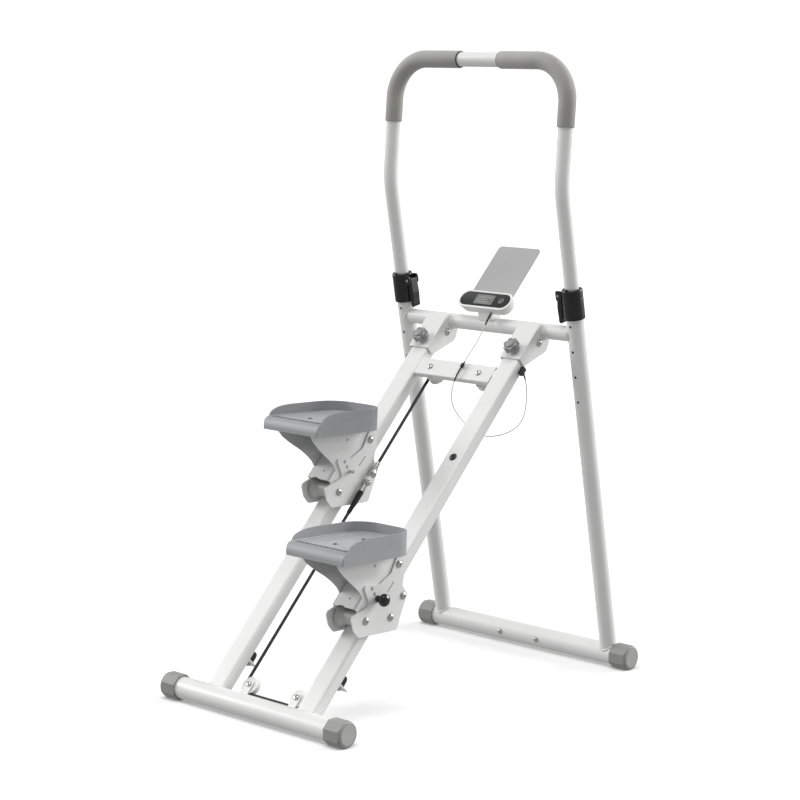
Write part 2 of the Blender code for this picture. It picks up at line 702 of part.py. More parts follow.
def bump_stop(side, x):
    profile = [(0, -0.8973), (0.0095, -0.8973), (0.0095, -0.8800), (0.0075, -0.8745), (0.004, -0.8722), (0, -0.8718)]
    mesh = turned_mesh(f"bump_stop_{side}", profile[::-1], 16, "Y", (x, 0, -0.0275))
    return add_part(f"bump_stop_{side}", mesh, "black_rubber", rail_pivot)


def cross_plate():
    """The channel between the rails, with the two axle pins of the upper pulleys."""
    half = RAIL_X - RAIL_WIDTH / 2 - TOUCH
    top, sheet = RAIL_TOP_N, 0.0025
    mesh = box_mesh("cross_plate", (-half, -0.1377, top - sheet), (half, -0.0925, top), 0)
    plate = add_part("cross_plate", mesh, "white_paint", rail_pivot)
    others = [
        box_mesh("flange_low", (-half, -0.1377, top - 0.014), (half, -0.1352, top - 0.001)),
        box_mesh("flange_high", (-half, -0.0950, top - 0.014), (half, -0.0925, top - 0.001)),
    ]
    for side, x in sides_of(PULLEY_X):
        low = ROPE_N - PULLEY_HALF - 0.003
        place = (x, UPPER_PULLEY_D)
        others.append(cylinder_mesh("pin", BOLT_RADIUS, low, top + 0.0035, "Z", place, 12))
        others.append(cylinder_mesh("spacer", 0.0075, ROPE_N + PULLEY_HALF + 0.0006, top - 0.001, "Z", place, 14))
    return joined(plate, others)


def pulley(name, x, d):
    bore = BOLT_RADIUS + BORE_GAP
    groove = PULLEY_TURN - ROPE_RADIUS - TOUCH
    half = PULLEY_HALF
    profile = [
        (bore, -half), (PULLEY_RIM, -half), (PULLEY_RIM, -half + 0.0012), (groove, -0.0028),
        (groove, 0.0028), (PULLEY_RIM, half - 0.0012), (PULLEY_RIM, half), (bore, half),
    ]
    return add_part(name, turned_mesh(name, profile, 18), "white_plastic", rail_pivot, (x, d, ROPE_N))


def rope_turns(name, d, direction):
    """The rope's stretch round both pulleys and across, from one side's tangent point to the other's."""
    lead = d - direction * 0.007
    left = [(-ROPE_X, lead, ROPE_N)]
    for u, v in arc((-PULLEY_X, d), PULLEY_TURN, 180, 180 - direction * 90, 6):
        left.append((u, v, ROPE_N))
    right = [(-u, v, n) for u, v, n in left[::-1]]
    mesh = solid_tube(name, left + right, ROPE_RADIUS, 8)
    return add_part(name, mesh, "rope_black", rail_pivot)


def rope_run(name, x, low, high):
    points = [(x, low, ROPE_N), (x, high, ROPE_N)]
    return add_part(name, solid_tube(name, points, ROPE_RADIUS, 8), "rope_black", rail_pivot)


def rope():
    rope_turns("rope_upper_turn", UPPER_PULLEY_D, 1)
    rope_turns("rope_lower_turn", LOWER_PULLEY_D, -1)
    for side, x, pivot in (("left", -ROPE_X, LEFT_PIVOT_D), ("right", ROPE_X, RIGHT_PIVOT_D)):
        top = UPPER_PULLEY_D - 0.007 - TOUCH
        bottom = LOWER_PULLEY_D + 0.007 + TOUCH
        rope_run(f"rope_upper_{side}", x, pivot + LUG_D[0] + 0.008, top)
        rope_run(f"rope_lower_{side}", x, bottom, pivot + LUG_D[1] - 0.008)


# ---------------------------------------------------------------- carriages

PLATE_OUTLINE = [
    (0.027, 0.030, 0.008), (0.016, 0.057, 0.014), (-0.028, 0.046, 0.012), (-0.066, 0.060, 0.020),
    (-0.0960, 0.0960, 0.005), (-0.114, 0.053, 0.008), (-0.150, 0.073, 0.010), (-0.166, 0.081, 0.008),
    (-0.181, 0.056, 0.012), (-0.183, 0.033, 0.008), (-0.119, -0.038, 0.005), (-0.105, -0.052, 0.006),
    (-0.031, -0.026, 0.006), (-0.027, -0.001, 0.008),
]


def bore_hole(d, n):
    return circle((d, n), BOLT_RADIUS + BORE_GAP, 12)


def carriage_frame(side, carriage):
    """Two side plates held apart by a spacer bar under the rail, with the rope's lug on the inner plate."""
    inner_sign = 1 if side == "left" else -1
    outline = rounded_outline(PLATE_OUTLINE, 2)
    holes = [bore_hole(0, PIVOT_N), bore_hole(ROLLER_D, PIVOT_N)]
    holes += [bore_hole(d, UNDER_N) for d in UNDER_ROLLERS_D]
    holes += [circle(pin_place(angle), PIN_RADIUS + BORE_GAP, 10) for angle in PIN_ANGLES]
    outer = PLATE_OUTER
    plates = []
    for sign in (-1, 1):
        low, high = sorted((sign * PLATE_INNER, sign * outer))
        plates.append(side_plate(f"plate_{sign}", outline, low, high, holes))
    name = f"carriage_frame_{side}"
    frame = add_part(name, plates[0], "white_paint", carriage)
    others = [plates[1]]
    others.append(cylinder_mesh("spacer", 0.0055, -PLATE_INNER - 0.001, PLATE_INNER + 0.001, "X", (-0.1105, -0.0285), 12))
    reach = RAIL_X - ROPE_X
    for k, d in enumerate(LUG_D):
        low, high = sorted((inner_sign * (PLATE_INNER + 0.001), inner_sign * (reach + 0.002)))
        others.append(box_mesh("lug", (low, d - 0.007, ROPE_N - 0.0055), (high, d + 0.007, ROPE_N + 0.0055), 0.001, 1))
    return joined(frame, others)


def pin_place(angle):
    """Where a pull-pin hole sits round the pivot, in D and N."""
    turn = radians(angle)
    return PIN_RADIUS_FROM_PIVOT * cos(turn), PIVOT_N + PIN_RADIUS_FROM_PIVOT * sin(turn)


def spool_profile(bore):
    """A waisted roller that straddles the rail: flanges beside it, a narrower tread on it."""
    tread_half = RAIL_WIDTH / 2 + 0.0006
    half = ROLLER_HALF
    outer_side = [(ROLLER_WAIST, -0.0185), (ROLLER_WAIST + 0.0022, -tread_half),
                  (ROLLER_FLANGE - 0.001, -tread_half - 0.0010), (ROLLER_FLANGE, -half), (bore, -half)]
    right = [(r, -z) for r, z in outer_side]
    return outer_side[::-1] + right


def rollers(side, carriage):
    bore = BOLT_RADIUS + BORE_GAP
    mesh = turned_mesh(f"upper_roller_{side}", spool_profile(bore), 16, "X")
    add_part(f"upper_roller_{side}", mesh, "roller_grey", carriage, (0, 0, PIVOT_N))
    outer = PLATE_OUTER + TOUCH
    pivot = bolt_mesh(f"pedal_bolt_{side}", -outer, outer)
    add_part(f"pedal_bolt_{side}", pivot, "zinc", carriage, (0, 0, PIVOT_N))
    lower = turned_mesh(f"lower_roller_{side}", live_axle(spool_profile(None)), 16, "X")
    add_part(f"lower_roller_{side}", lower, "roller_grey", carriage, (0, ROLLER_D, PIVOT_N))
    for k, d in enumerate(UNDER_ROLLERS_D):
        name = f"under_roller_{('a', 'b')[k]}_{side}"
        half = 0.0240
        wheel = [(None, -half), (UNDER_RADIUS - 0.0006, -half), (UNDER_RADIUS, -half + 0.001),
                 (UNDER_RADIUS, half - 0.001), (UNDER_RADIUS - 0.0006, half), (None, half)]
        mesh = turned_mesh(name, live_axle(wheel), 12, "X")
        add_part(name, mesh, "roller_grey", carriage, (0, d, UNDER_N))


def live_axle(profile):
    """A roller's profile with its axle bolt made in one with it: head on one side, nut on the other."""
    outer = PLATE_OUTER + TOUCH
    body = [(r, z) for r, z in profile if r is not None]
    low, high = profile[0][1], profile[-1][1]
    before = [(0, -outer - 0.0045), (0.0058, -outer - 0.0035), (0.0058, -outer), (BOLT_RADIUS, -outer),
              (BOLT_RADIUS, low)]
    after = [(BOLT_RADIUS, high), (BOLT_RADIUS, outer), (0.0065, outer), (0.0050, outer + 0.0036),
             (0, outer + 0.0045)]
    return before + body + after


def pull_pin(side, carriage):
    """The tilt pin through both side plates, along X: the pedal support rests on it. Its knob is on the outer side."""
    sign = -1 if side == "left" else 1
    d, n = pin_place(PIN_ANGLES[0])
    slide = make_empty(f"pin_slide_{side}", carriage, (0, d, n))
    start = PLATE_OUTER + TOUCH
    profile = [
        (0, -PIN_INNER_END), (PIN_RADIUS, -PIN_INNER_END + 0.001), (PIN_RADIUS, start), (0.0070, start),
        (0.0070, start + 0.006), (0.0055, start + 0.008), (0.0080, start + 0.011), (0.0132, start + 0.014),
        (0.0140, start + 0.019), (0.0125, start + 0.024), (0.0080, start + 0.027), (0, start + 0.028),
    ]
    mesh = turned_mesh(f"pull_pin_{side}", profile, 14, "X")
    if sign < 0:
        mesh.transform(Matrix.Scale(-1, 4, (1, 0, 0)))
        mesh.flip_normals()
    return add_part(f"pull_pin_{side}", mesh, "black_plastic", slide)


# ---------------------------------------------------------------- pedals

def tray_outline(inset=0.0, heel_inset=None):
    """The tray from above: a straight heel, straight sides and a rounded toe."""
    half = TRAY_HALF_WIDTH - inset
    heel = TRAY_HEEL + (inset if heel_inset is None else heel_inset)
    return rounded_outline([
        (-half, heel, 0.004), (half, heel, 0.004),
        (half, TRAY_TOE - inset, TRAY_CORNER - inset), (-half, TRAY_TOE - inset, TRAY_CORNER - inset),
    ], 6)


def pedal_tray(side, pedal):
    """A shallow tray with a raised rim that falls away at the heel, over a sloping front lip."""
    name = f"pedal_tray_{side}"
    mesh = plate_mesh(name, tray_outline(), TRAY_TOP - TRAY_BOTTOM)
    mesh.transform(Matrix.Translation((0, 0, (TRAY_TOP + TRAY_BOTTOM) / 2)))
    tray = add_part(name, mesh, "pedal_grey", pedal, (0, 0, 0), (-TRAY_PITCH, 0, 0))
    hollow = plate_mesh("hollow", tray_outline(TRAY_WALL), 0.06)
    hollow.transform(Matrix.Translation((0, 0, TRAY_FLOOR + 0.03)))
    cut(tray, hollow, "hollow")
    for k, (heel_inset, top) in enumerate(((0.0030, 0.0305), (0.0078, 0.0410), (0.0125, TRAY_FLOOR - 0.003))):
        under = plate_mesh("under", tray_outline(TRAY_WALL, heel_inset), 0.04)
        under.transform(Matrix.Translation((0, 0, top - 0.02)))
        cut(tray, under, f"under_{k}")
    heel = side_plate("heel", rounded_outline([
        (TRAY_HEEL - 0.02, TRAY_TOP + 0.02, 0), (TRAY_HEEL - 0.02, 0.0300, 0), (TRAY_HEEL - 0.0004, 0.0300, 0),
        (TRAY_HEEL + 0.0105, TRAY_FLOOR + 0.0002, 0.0030), (TRAY_HEEL + 0.0145, TRAY_FLOOR + 0.0002, 0.0008),
        (TRAY_HEEL + 0.0220, TRAY_TOP - 0.010, 0.010), (TRAY_HEEL + 0.055, TRAY_TOP - 0.0006, 0.026),
        (TRAY_HEEL + 0.085, TRAY_TOP + 0.02, 0),
    ], 4)[::-1], -0.1, 0.1)
    return cut(tray, heel, "heel")


SUPPORT_ROWS = (
    # height, front edge and rear edge, all from the pivot
    (0.0501, -0.2020, -0.0010), (0.0380, -0.2035, -0.0010), (0.0266, -0.2035, -0.0010), (0.0256, -0.2030, 0.0120),
    (0.0140, -0.1915, 0.0165), (0.0000, -0.1690, 0.0155), (-0.0146, -0.1480, 0.0090), (-0.0300, -0.1285, -0.0400),
    (-0.0430, -0.1145, -0.0540), (-0.0560, -0.1060, -0.0655), (-0.0680, -0.1170, -0.0780), (-0.0780, -0.1265, -0.0880),
)
FLARE = 0.0165                        # how far the flanges lean out by the time they reach the tray's heel


def support_half_width(y, z):
    """The flanges stand straight between the side plates and lean out above them, towards the heel."""
    plate_top = -0.024 + 0.044 * smoothstep((y + 0.055) / 0.055)
    rise = smoothstep((z - plate_top) / (0.0266 - plate_top))
    return FLANGE_INNER + FLANGE_SHEET / 2 + FLARE * rise * smoothstep((-0.020 - y) / 0.060)


def support_point(x, y, z):
    """The sheet's upper part takes the tray's pitch."""
    turn = -TRAY_PITCH * smoothstep((z + 0.005) / 0.030)
    return x, y * cos(turn) - z * sin(turn), y * sin(turn) + z * cos(turn)


def flange_mesh(sign):
    """One flange as a closed sheet: two layers of points, joined round their border."""
    across = 10
    bm = bmesh.new()
    layers = []
    for offset in (-FLANGE_SHEET / 2, FLANGE_SHEET / 2):
        layer = []
        for z, front, rear in SUPPORT_ROWS:
            ys = [rear + (front - rear) * k / across for k in range(across + 1)]
            layer.append([bm.verts.new(support_point(sign * (support_half_width(y, z) + offset), y, z)) for y in ys])
        layers.append(layer)
    for layer in layers:
        for upper, lower in zip(layer, layer[1:]):
            for k in range(across):
                bm.faces.new((upper[k], lower[k], lower[k + 1], upper[k + 1]))
    borders = []
    for layer in layers:
        borders.append(layer[0] + [row[-1] for row in layer[1:]] + layer[-1][-2::-1] + [row[0] for row in layer[-2:0:-1]])
    count = len(borders[0])
    for k in range(count):
        j = (k + 1) % count
        bm.faces.new((borders[0][k], borders[0][j], borders[1][j], borders[1][k]))
    return mesh_from_bmesh(f"flange_{sign}", bm)


def pedal_support(side, pedal):
    """The bent sheet under the tray: two flanges, and a web between them that lies parallel to the rail."""
    name = f"pedal_support_{side}"
    obj = add_part(name, flange_mesh(-1), "white_paint", pedal)
    half = FLANGE_INNER + FLANGE_SHEET * 0.6
    web = box_mesh("web", (-half, WEB_D[0], WEB_N), (half, WEB_D[1], WEB_N + FLANGE_SHEET))
    web.transform(Matrix.Rotation(RAIL_ANGLE, 4, "X") @ Matrix.Translation((0, 0, -PIVOT_N)))
    joined(obj, [web, flange_mesh(1)])
    return cut(obj, cylinder_mesh("hole", BOLT_RADIUS + BORE_GAP, -0.08, 0.08, "X", (0, 0), 12), "pivot")


def carriage(side, x, pivot_d):
    base = make_empty(f"carriage_{side}", rail_pivot, (x, pivot_d, 0))
    pedal = make_empty(f"pedal_pivot_{side}", base, (0, 0, PIVOT_N), (-RAIL_ANGLE, 0, 0))
    carriage_frame(side, base)
    rollers(side, base)
    pull_pin(side, base)
    pedal_support(side, pedal)
    pedal_tray(side, pedal)


# ---------------------------------------------------------------- console, sensor and wire

console_frame = make_empty(
    "console_frame", None, (0, CONSOLE_FACE_Y, CONSOLE_FACE_Z), (CONSOLE_TILT, 0, 0)
)


def console():
    """The display housing on its clip; local Y runs up the face and local Z out of it."""
    outline = rounded_outline([
        (0.077, 0.0245, 0.0238), (-0.077, 0.0245, 0.0238), (-0.077, -0.0245, 0.0238), (0.077, -0.0245, 0.0238),
    ], 6)
    mesh = plate_mesh("console_body", outline, 0.026)
    mesh.transform(Matrix.Translation((0, 0, -0.013)))
    body = add_part("console_body", mesh, "white_plastic", console_frame)
    tilt = Matrix.Rotation(-CONSOLE_TILT, 4, "X")
    offset = Vector((0, CROSSBAR_Y - CONSOLE_FACE_Y, CROSSBAR_Z - CONSOLE_FACE_Z))
    clip = box_mesh("clip", (-0.020, -0.016, 0.010), (0.020, 0.016, 0.040), 0.002, 1)
    clip.transform(tilt @ Matrix.Translation(offset))
    joined(body, [clip])
    tube = cylinder_mesh("tube", CROSSBAR_RADIUS + TOUCH, -0.05, 0.05, "X", (0, 0), 32)
    tube.transform(tilt @ Matrix.Translation(offset))
    cut(body, tube, "crossbar")
    well = cylinder_mesh("well", 0.0075, -0.0035, 0.01, "Z", (0.048, 0), 20)
    cut(body, well, "button")
    low = (-REST_HALF - TOUCH, REST_FOOT - TOUCH, REST_DEPTH - 0.0015 - TOUCH)
    high = (REST_HALF + TOUCH, 0.050, REST_DEPTH + 0.0015 + TOUCH)
    cut(body, box_mesh("slot", low, high), "rest")
    button = turned_mesh("console_button", [
        (0, -0.0020), (0.0072, -0.0020), (0.0072, 0.0006), (0.0064, 0.0012), (0, 0.0014),
    ], 20)
    add_part("console_button", button, "black_plastic", console_frame, (0.048, 0, 0))


def phone_plate():
    """The flat rest for a phone, held in a slot in the housing's upper edge."""
    outline = rounded_outline([
        (REST_HALF, REST_TOP, 0.010), (-REST_HALF, REST_TOP, 0.010),
        (-REST_HALF, REST_FOOT, 0), (REST_HALF, REST_FOOT, 0),
    ], 4)
    mesh = plate_mesh("phone_plate", outline, 0.003)
    add_part("phone_plate", mesh, "plate_grey", console_frame, (0, 0, REST_DEPTH))


# The wire's own route in world axes: from the console down to the connector on the cross plate,
# then under the right rail and back up to the sensor on the rail's outer side.
CONSOLE_WIRE = (
    (0.0220, 0.2707, 0.8017), (0.0222, 0.2640, 0.7948), (0.0225, 0.2440, 0.7690), (0.0227, 0.2230, 0.7420),
    (0.0228, 0.1990, 0.7190), (0.0228, 0.1819, 0.7008),
)
SENSOR_WIRE = (
    (0.0228, 0.1669, 0.6858), (0.0226, 0.1560, 0.6730), (0.0221, 0.1450, 0.6536), (0.0182, 0.1450, 0.6308),
    (0.0140, 0.1530, 0.6080), (0.0200, 0.1630, 0.5850), (0.0420, 0.1670, 0.5650), (0.0780, 0.1600, 0.5510),
    (0.1150, 0.1560, 0.5470), (0.1450, 0.1740, 0.5530), (0.1620, 0.2010, 0.5690), (0.1660, 0.2210, 0.5960),
    (0.1665, 0.2270, 0.6390), (0.1660, 0.2230, 0.6680), (0.1652, 0.2163, 0.6868),
)
WIRE_RADIUS = 0.0012


def smooth_route(points, spacing):
    """Points at an even spacing on a smooth curve through the route's own points."""
    places = [Vector(p) for p in points]
    padded = [places[0] * 2 - places[1], *places, places[-1] * 2 - places[-2]]
    fine = []
    for k in range(len(places) - 1):
        a, b, c, d = padded[k:k + 4]
        for i in range(12):
            t = i / 12
            fine.append(0.5 * (2 * b + (c - a) * t + (2 * a - 5 * b + 4 * c - d) * t * t
                               + (3 * b - a - 3 * c + d) * t ** 3))
    fine.append(places[-1])
    total = sum((q - p).length for p, q in zip(fine, fine[1:]))
    count = max(2, round(total / spacing))
    step = total / count
    result, walked, target = [fine[0]], 0.0, step
    for p, q in zip(fine, fine[1:]):
        length = (q - p).length
        while walked + length >= target - 1e-9 and len(result) < count:
            result.append(p.lerp(q, (target - walked) / length))
            target += step
        walked += length
    result.append(fine[-1])
    return result


def wires():
    for name, route in (("console_wire", CONSOLE_WIRE), ("sensor_wire", SENSOR_WIRE)):
        points = smooth_route(route, 0.0100)
        add_part(name, solid_tube(name, points, WIRE_RADIUS, 6), "wire_white")
    connector()
    sensor()


def connector():
    """The in-line plug where the two wires join, lying above the cross plate."""
    start = Vector(CONSOLE_WIRE[-1])
    end = Vector(SENSOR_WIRE[0])
    along = (end - start).normalized()
    length = (end - start).length - 2 * TOUCH
    profile = [(0, 0), (0.0016, 0), (0.0024, 0.006), (0.0042, 0.007), (0.0042, length - 0.007),
               (0.0024, length - 0.006), (0.0016, length), (0, length)]
    mesh = turned_mesh("wire_connector", profile, 10)
    turn = Vector((0, 0, 1)).rotation_difference(along).to_matrix().to_4x4()
    mesh.transform(Matrix.Translation(start + along * TOUCH) @ turn)
    add_part("wire_connector", mesh, "black_plastic")


def sensor():
    """The pickup on the right rail's outer side, just below the bracket."""
    side = RAIL_X + RAIL_WIDTH / 2 + TOUCH
    mesh = box_mesh("sensor", (side, -0.0920, -0.0038), (side + 0.0090, -0.0725, 0.0080), 0.001, 1)
    add_part("sensor", mesh, "black_plastic", rail_pivot)


def main():
    foot_bars()
    for side in ("left", "right"):
        leg(side)
        collar(side)
        lever(side)
    handlebar()
    crossbar()
    hinge_bolts()
    cross_plate()
    for side, x in sides_of(RAIL_X):
        rail(side, x)
        bump_stop(side, x)
        star_knob(side, x)
    for side, x in sides_of(PULLEY_X):
        pulley(f"upper_pulley_{side}", x, UPPER_PULLEY_D)
        pulley(f"lower_pulley_{side}", x, LOWER_PULLEY_D)
    rope()
    carriage("left", -RAIL_X, LEFT_PIVOT_D)
    carriage("right", RAIL_X, RIGHT_PIVOT_D)
    console()
    phone_plate()
    wires()


main()
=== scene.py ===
"""Vertical climber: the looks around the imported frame.

Metres, +Z up. X runs across the machine, +Y from the rear foot bar to the front base bar.
"""

import json
from math import cos, pi, radians, sin, sqrt, tan

import bmesh
import bpy
from mathutils import Matrix, Vector

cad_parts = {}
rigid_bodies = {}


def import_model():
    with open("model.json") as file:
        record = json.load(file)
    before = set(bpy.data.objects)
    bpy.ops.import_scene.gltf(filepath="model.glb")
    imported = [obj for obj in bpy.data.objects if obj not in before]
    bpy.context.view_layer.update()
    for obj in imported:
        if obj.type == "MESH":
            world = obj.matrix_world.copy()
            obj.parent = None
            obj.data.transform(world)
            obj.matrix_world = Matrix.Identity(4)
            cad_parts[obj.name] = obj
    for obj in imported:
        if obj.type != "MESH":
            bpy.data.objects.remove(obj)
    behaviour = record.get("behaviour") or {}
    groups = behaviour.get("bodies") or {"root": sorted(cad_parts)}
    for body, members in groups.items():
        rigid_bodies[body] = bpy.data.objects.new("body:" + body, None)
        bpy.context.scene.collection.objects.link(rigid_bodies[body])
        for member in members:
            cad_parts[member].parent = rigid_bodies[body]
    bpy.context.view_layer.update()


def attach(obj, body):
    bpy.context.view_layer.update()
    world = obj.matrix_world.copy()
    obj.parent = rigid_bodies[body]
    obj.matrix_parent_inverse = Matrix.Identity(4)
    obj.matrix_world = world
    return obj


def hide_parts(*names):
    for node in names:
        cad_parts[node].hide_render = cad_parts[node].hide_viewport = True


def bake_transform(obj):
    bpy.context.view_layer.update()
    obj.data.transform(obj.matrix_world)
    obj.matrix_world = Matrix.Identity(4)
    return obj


at = Matrix.Translation
NO_TURN = Matrix.Identity(4)

for stray in list(bpy.data.objects):
    bpy.data.objects.remove(stray, do_unlink=True)

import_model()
SCENE = bpy.context.scene

# ---------------------------------------------------------------- sizes, as in the CAD

REAR_BAR_LENGTH = 0.540
FRONT_BAR_LENGTH = 0.634
BAR_RADIUS = 0.024
CAP_ACROSS = 0.054
CAP_LENGTH = 0.0460
BAR_Z = 0.027
FRONT_SCREWS_X = (-0.055, 0.055)
FRONT_Y = 0.439
REAR_Y = -0.439

LEG_X = 0.2515
LEG_LEAN = radians(11.2)
LEG_RADIUS = 0.019
LEG_TOP = 0.845
LEG_HOLES = (0.7834, 0.7257, 0.6680, 0.6103)
COLLAR_BOTTOM = 0.798
COLLAR_TOP = 0.866
COLLAR_RADIUS = 0.0235
HANDLE_RADIUS = 0.016
HANDLE_BOTTOM = 0.790
HANDLE_BEND = 1.0907
HANDLE_TOP = (0.2465, 1.3678)
GRIP_RADIUS = 0.0195
GRIP_END_X = 0.059
GRIP_END_Z = 1.2256
LEVER_PIVOT = (0.0285, 0.851)

CROSSBAR = (0.2908, 0.774)
CROSSBAR_RADIUS = 0.017
HINGE = (0.2696, 0.7496)
RAIL_ANGLE = radians(46.5)
RAIL_X = 0.1355
RAIL_WIDTH = 0.050
RAIL_DEPTH = 0.030
RAIL_N = 0.0085
RAIL_TOP_N = 0.0235
RAIL_UNDER_N = -0.0065
RAIL_WALL = 0.0018
PLUG_D = -0.339
BRACKET_INNER = 0.026
BRACKET_SHEET = 0.003
BRACKET_PLATE_N = 0.0245
KNOB_D = -0.045
KNOB_RADIUS = 0.018
BOLT_RADIUS = 0.004
TOUCH = 0.0003
BOLT_HOLE = BOLT_RADIUS + TOUCH

ROPE_RADIUS = 0.0035
ROPE_N = -0.0095
PULLEY_X = 0.0715
PULLEY_TURN = 0.018
PULLEY_RIM = 0.021
PULLEY_HALF = 0.006
PULLEY_TAB_N = ROPE_N + PULLEY_HALF + 0.0006
PULLEY_TAB_HALF = 0.0105
ROPE_X = PULLEY_X + PULLEY_TURN
UPPER_PULLEY_D = -0.116
LOWER_PULLEY_D = -0.957

PIVOT_N = 0.040
PIVOT_D = {"left": -0.3395, "right": -0.625}
ROLLER_D = -0.145
UNDER_ROLLERS_D = (-0.0415, -0.097)
UNDER_RADIUS = 0.011
UNDER_N = RAIL_UNDER_N - TOUCH - UNDER_RADIUS
PLATE_INNER = 0.0345
PLATE_OUTER = 0.0375
FLANGE_INNER = 0.0320
FLANGE_SHEET = 0.0021
WEB_N = 0.0780
WEB_D = (-0.1436, -0.050)
PIN_REACH = 0.091
PIN_ANGLES = (177.8, 168.8, 159.4)
PIN_RADIUS = 0.0040
LUG_D = (-0.0565, -0.0820)

TRAY_HALF_WIDTH = 0.082
TRAY_BOTTOM = 0.0272
TRAY_TOP = 0.0765
TRAY_FLOOR = 0.0535
TRAY_HEEL = -0.2176
TRAY_TOE = 0.0050
TRAY_WALL = 0.0030
TRAY_CORNER = 0.054
TRAY_PITCH = radians(2.0)
LIP_LOW = 0.0300

CONSOLE_TILT = radians(46)
CONSOLE_FACE = (0.2752, 0.8322)
BUTTON_X = 0.048
BUTTON_WELL = 0.0075
REST_HALF = 0.0613
REST_FOOT = 0.0120
REST_TOP = 0.1645
REST_DEPTH = -0.0120

CONSOLE_WIRE = (
    (0.0220, 0.2707, 0.8017), (0.0222, 0.2640, 0.7948), (0.0225, 0.2440, 0.7690), (0.0227, 0.2230, 0.7420),
    (0.0228, 0.1990, 0.7190), (0.0228, 0.1819, 0.7008),
)
SENSOR_WIRE = (
    (0.0228, 0.1669, 0.6858), (0.0226, 0.1560, 0.6730), (0.0221, 0.1450, 0.6536), (0.0182, 0.1450, 0.6308),
    (0.0140, 0.1530, 0.6080), (0.0200, 0.1630, 0.5850), (0.0420, 0.1670, 0.5650), (0.0780, 0.1600, 0.5510),
    (0.1150, 0.1560, 0.5470), (0.1450, 0.1740, 0.5530), (0.1620, 0.2010, 0.5690), (0.1660, 0.2210, 0.5960),
    (0.1665, 0.2270, 0.6390), (0.1660, 0.2230, 0.6680), (0.1652, 0.2163, 0.6868),
)
WIRE_RADIUS = 0.0012

SIDES = (("left", -1), ("right", 1))
RAIL = at((0, *HINGE)) @ Matrix.Rotation(RAIL_ANGLE, 4, "X")
LEG = {side: at((sign * LEG_X, FRONT_Y, BAR_Z)) @ Matrix.Rotation(LEG_LEAN, 4, "X")
       for side, sign in SIDES}
CARRIAGE = {side: RAIL @ at((sign * RAIL_X, PIVOT_D[side], 0)) for side, sign in SIDES}
PEDAL = {side: CARRIAGE[side] @ at((0, 0, PIVOT_N)) @ Matrix.Rotation(-RAIL_ANGLE, 4, "X")
         for side, sign in SIDES}
CONSOLE = at((0, *CONSOLE_FACE)) @ Matrix.Rotation(CONSOLE_TILT, 4, "X")


# ---------------------------------------------------------------- finishes

def texture(tree, kind, scale, **inputs):
    node = tree.nodes.new(kind)
    node.inputs["Scale"].default_value = scale
    for key, value in inputs.items():
        node.inputs[key.replace("_", " ")].default_value = value
    return node


def finish(name, colour, roughness, metallic=0.0, spread=0.05, mottle=14.0, grain=700.0, depth=0.00008,
           cells=False, strands=None, coat=0.0, sheen=0.0, uneven=0.06):
    """A procedural finish: mottled colour, uneven gloss and a fine relief, all in the piece's own axes."""
    material = bpy.data.materials.new(name)
    material.use_nodes = True
    tree = material.node_tree
    shader = tree.nodes["Principled BSDF"]
    shader.inputs["Metallic"].default_value = metallic
    shader.inputs["Coat Weight"].default_value = coat
    shader.inputs["Coat Roughness"].default_value = 0.12
    shader.inputs["Sheen Weight"].default_value = sheen
    shader.inputs["Sheen Roughness"].default_value = 0.5
    place = tree.nodes.new("ShaderNodeTexCoord")
    cloud = texture(tree, "ShaderNodeTexNoise", mottle, Detail=5.0, Roughness=0.6)
    speck = texture(tree, "ShaderNodeTexNoise", grain * 0.6, Detail=2.0, Roughness=0.5)
    blend = tree.nodes.new("ShaderNodeMath")
    blend.operation = "MULTIPLY_ADD"
    blend.inputs[1].default_value = 0.7
    half = tree.nodes.new("ShaderNodeMath")
    half.operation = "MULTIPLY"
    half.inputs[1].default_value = 0.3
    ramp = tree.nodes.new("ShaderNodeValToRGB")
    ramp.color_ramp.elements[0].position = 0.32
    ramp.color_ramp.elements[1].position = 0.68
    for stop, factor in zip(ramp.color_ramp.elements, (1 - spread, 1 + spread)):
        stop.color = (*(min(1.0, c * factor) for c in colour), 1)
    gloss = tree.nodes.new("ShaderNodeMapRange")
    gloss.inputs["To Min"].default_value = max(0.02, roughness - uneven)
    gloss.inputs["To Max"].default_value = roughness + uneven
    bump = tree.nodes.new("ShaderNodeBump")
    bump.inputs["Distance"].default_value = depth
    bump.inputs["Strength"].default_value = 0.6
    if cells:
        relief = texture(tree, "ShaderNodeTexVoronoi", grain)
        height = relief.outputs["Distance"]
    elif strands:
        relief = texture(tree, "ShaderNodeTexWave", strands, Distortion=1.5, Detail=2.0)
        relief.bands_direction = "DIAGONAL"
        height = relief.outputs["Fac"]
    else:
        relief = texture(tree, "ShaderNodeTexNoise", grain, Detail=3.0, Roughness=0.55)
        height = relief.outputs["Fac"]
    link = tree.links.new
    for node in (cloud, speck, relief):
        link(place.outputs["Object"], node.inputs["Vector"])
    link(speck.outputs["Fac"], half.inputs[0])
    link(cloud.outputs["Fac"], blend.inputs[0])
    link(half.outputs[0], blend.inputs[2])
    link(blend.outputs[0], ramp.inputs["Fac"])
    link(ramp.outputs["Color"], shader.inputs["Base Color"])
    link(cloud.outputs["Fac"], gloss.inputs["Value"])
    link(gloss.outputs["Result"], shader.inputs["Roughness"])
    link(height, bump.inputs["Height"])
    link(bump.outputs["Normal"], shader.inputs["Normal"])
    return material


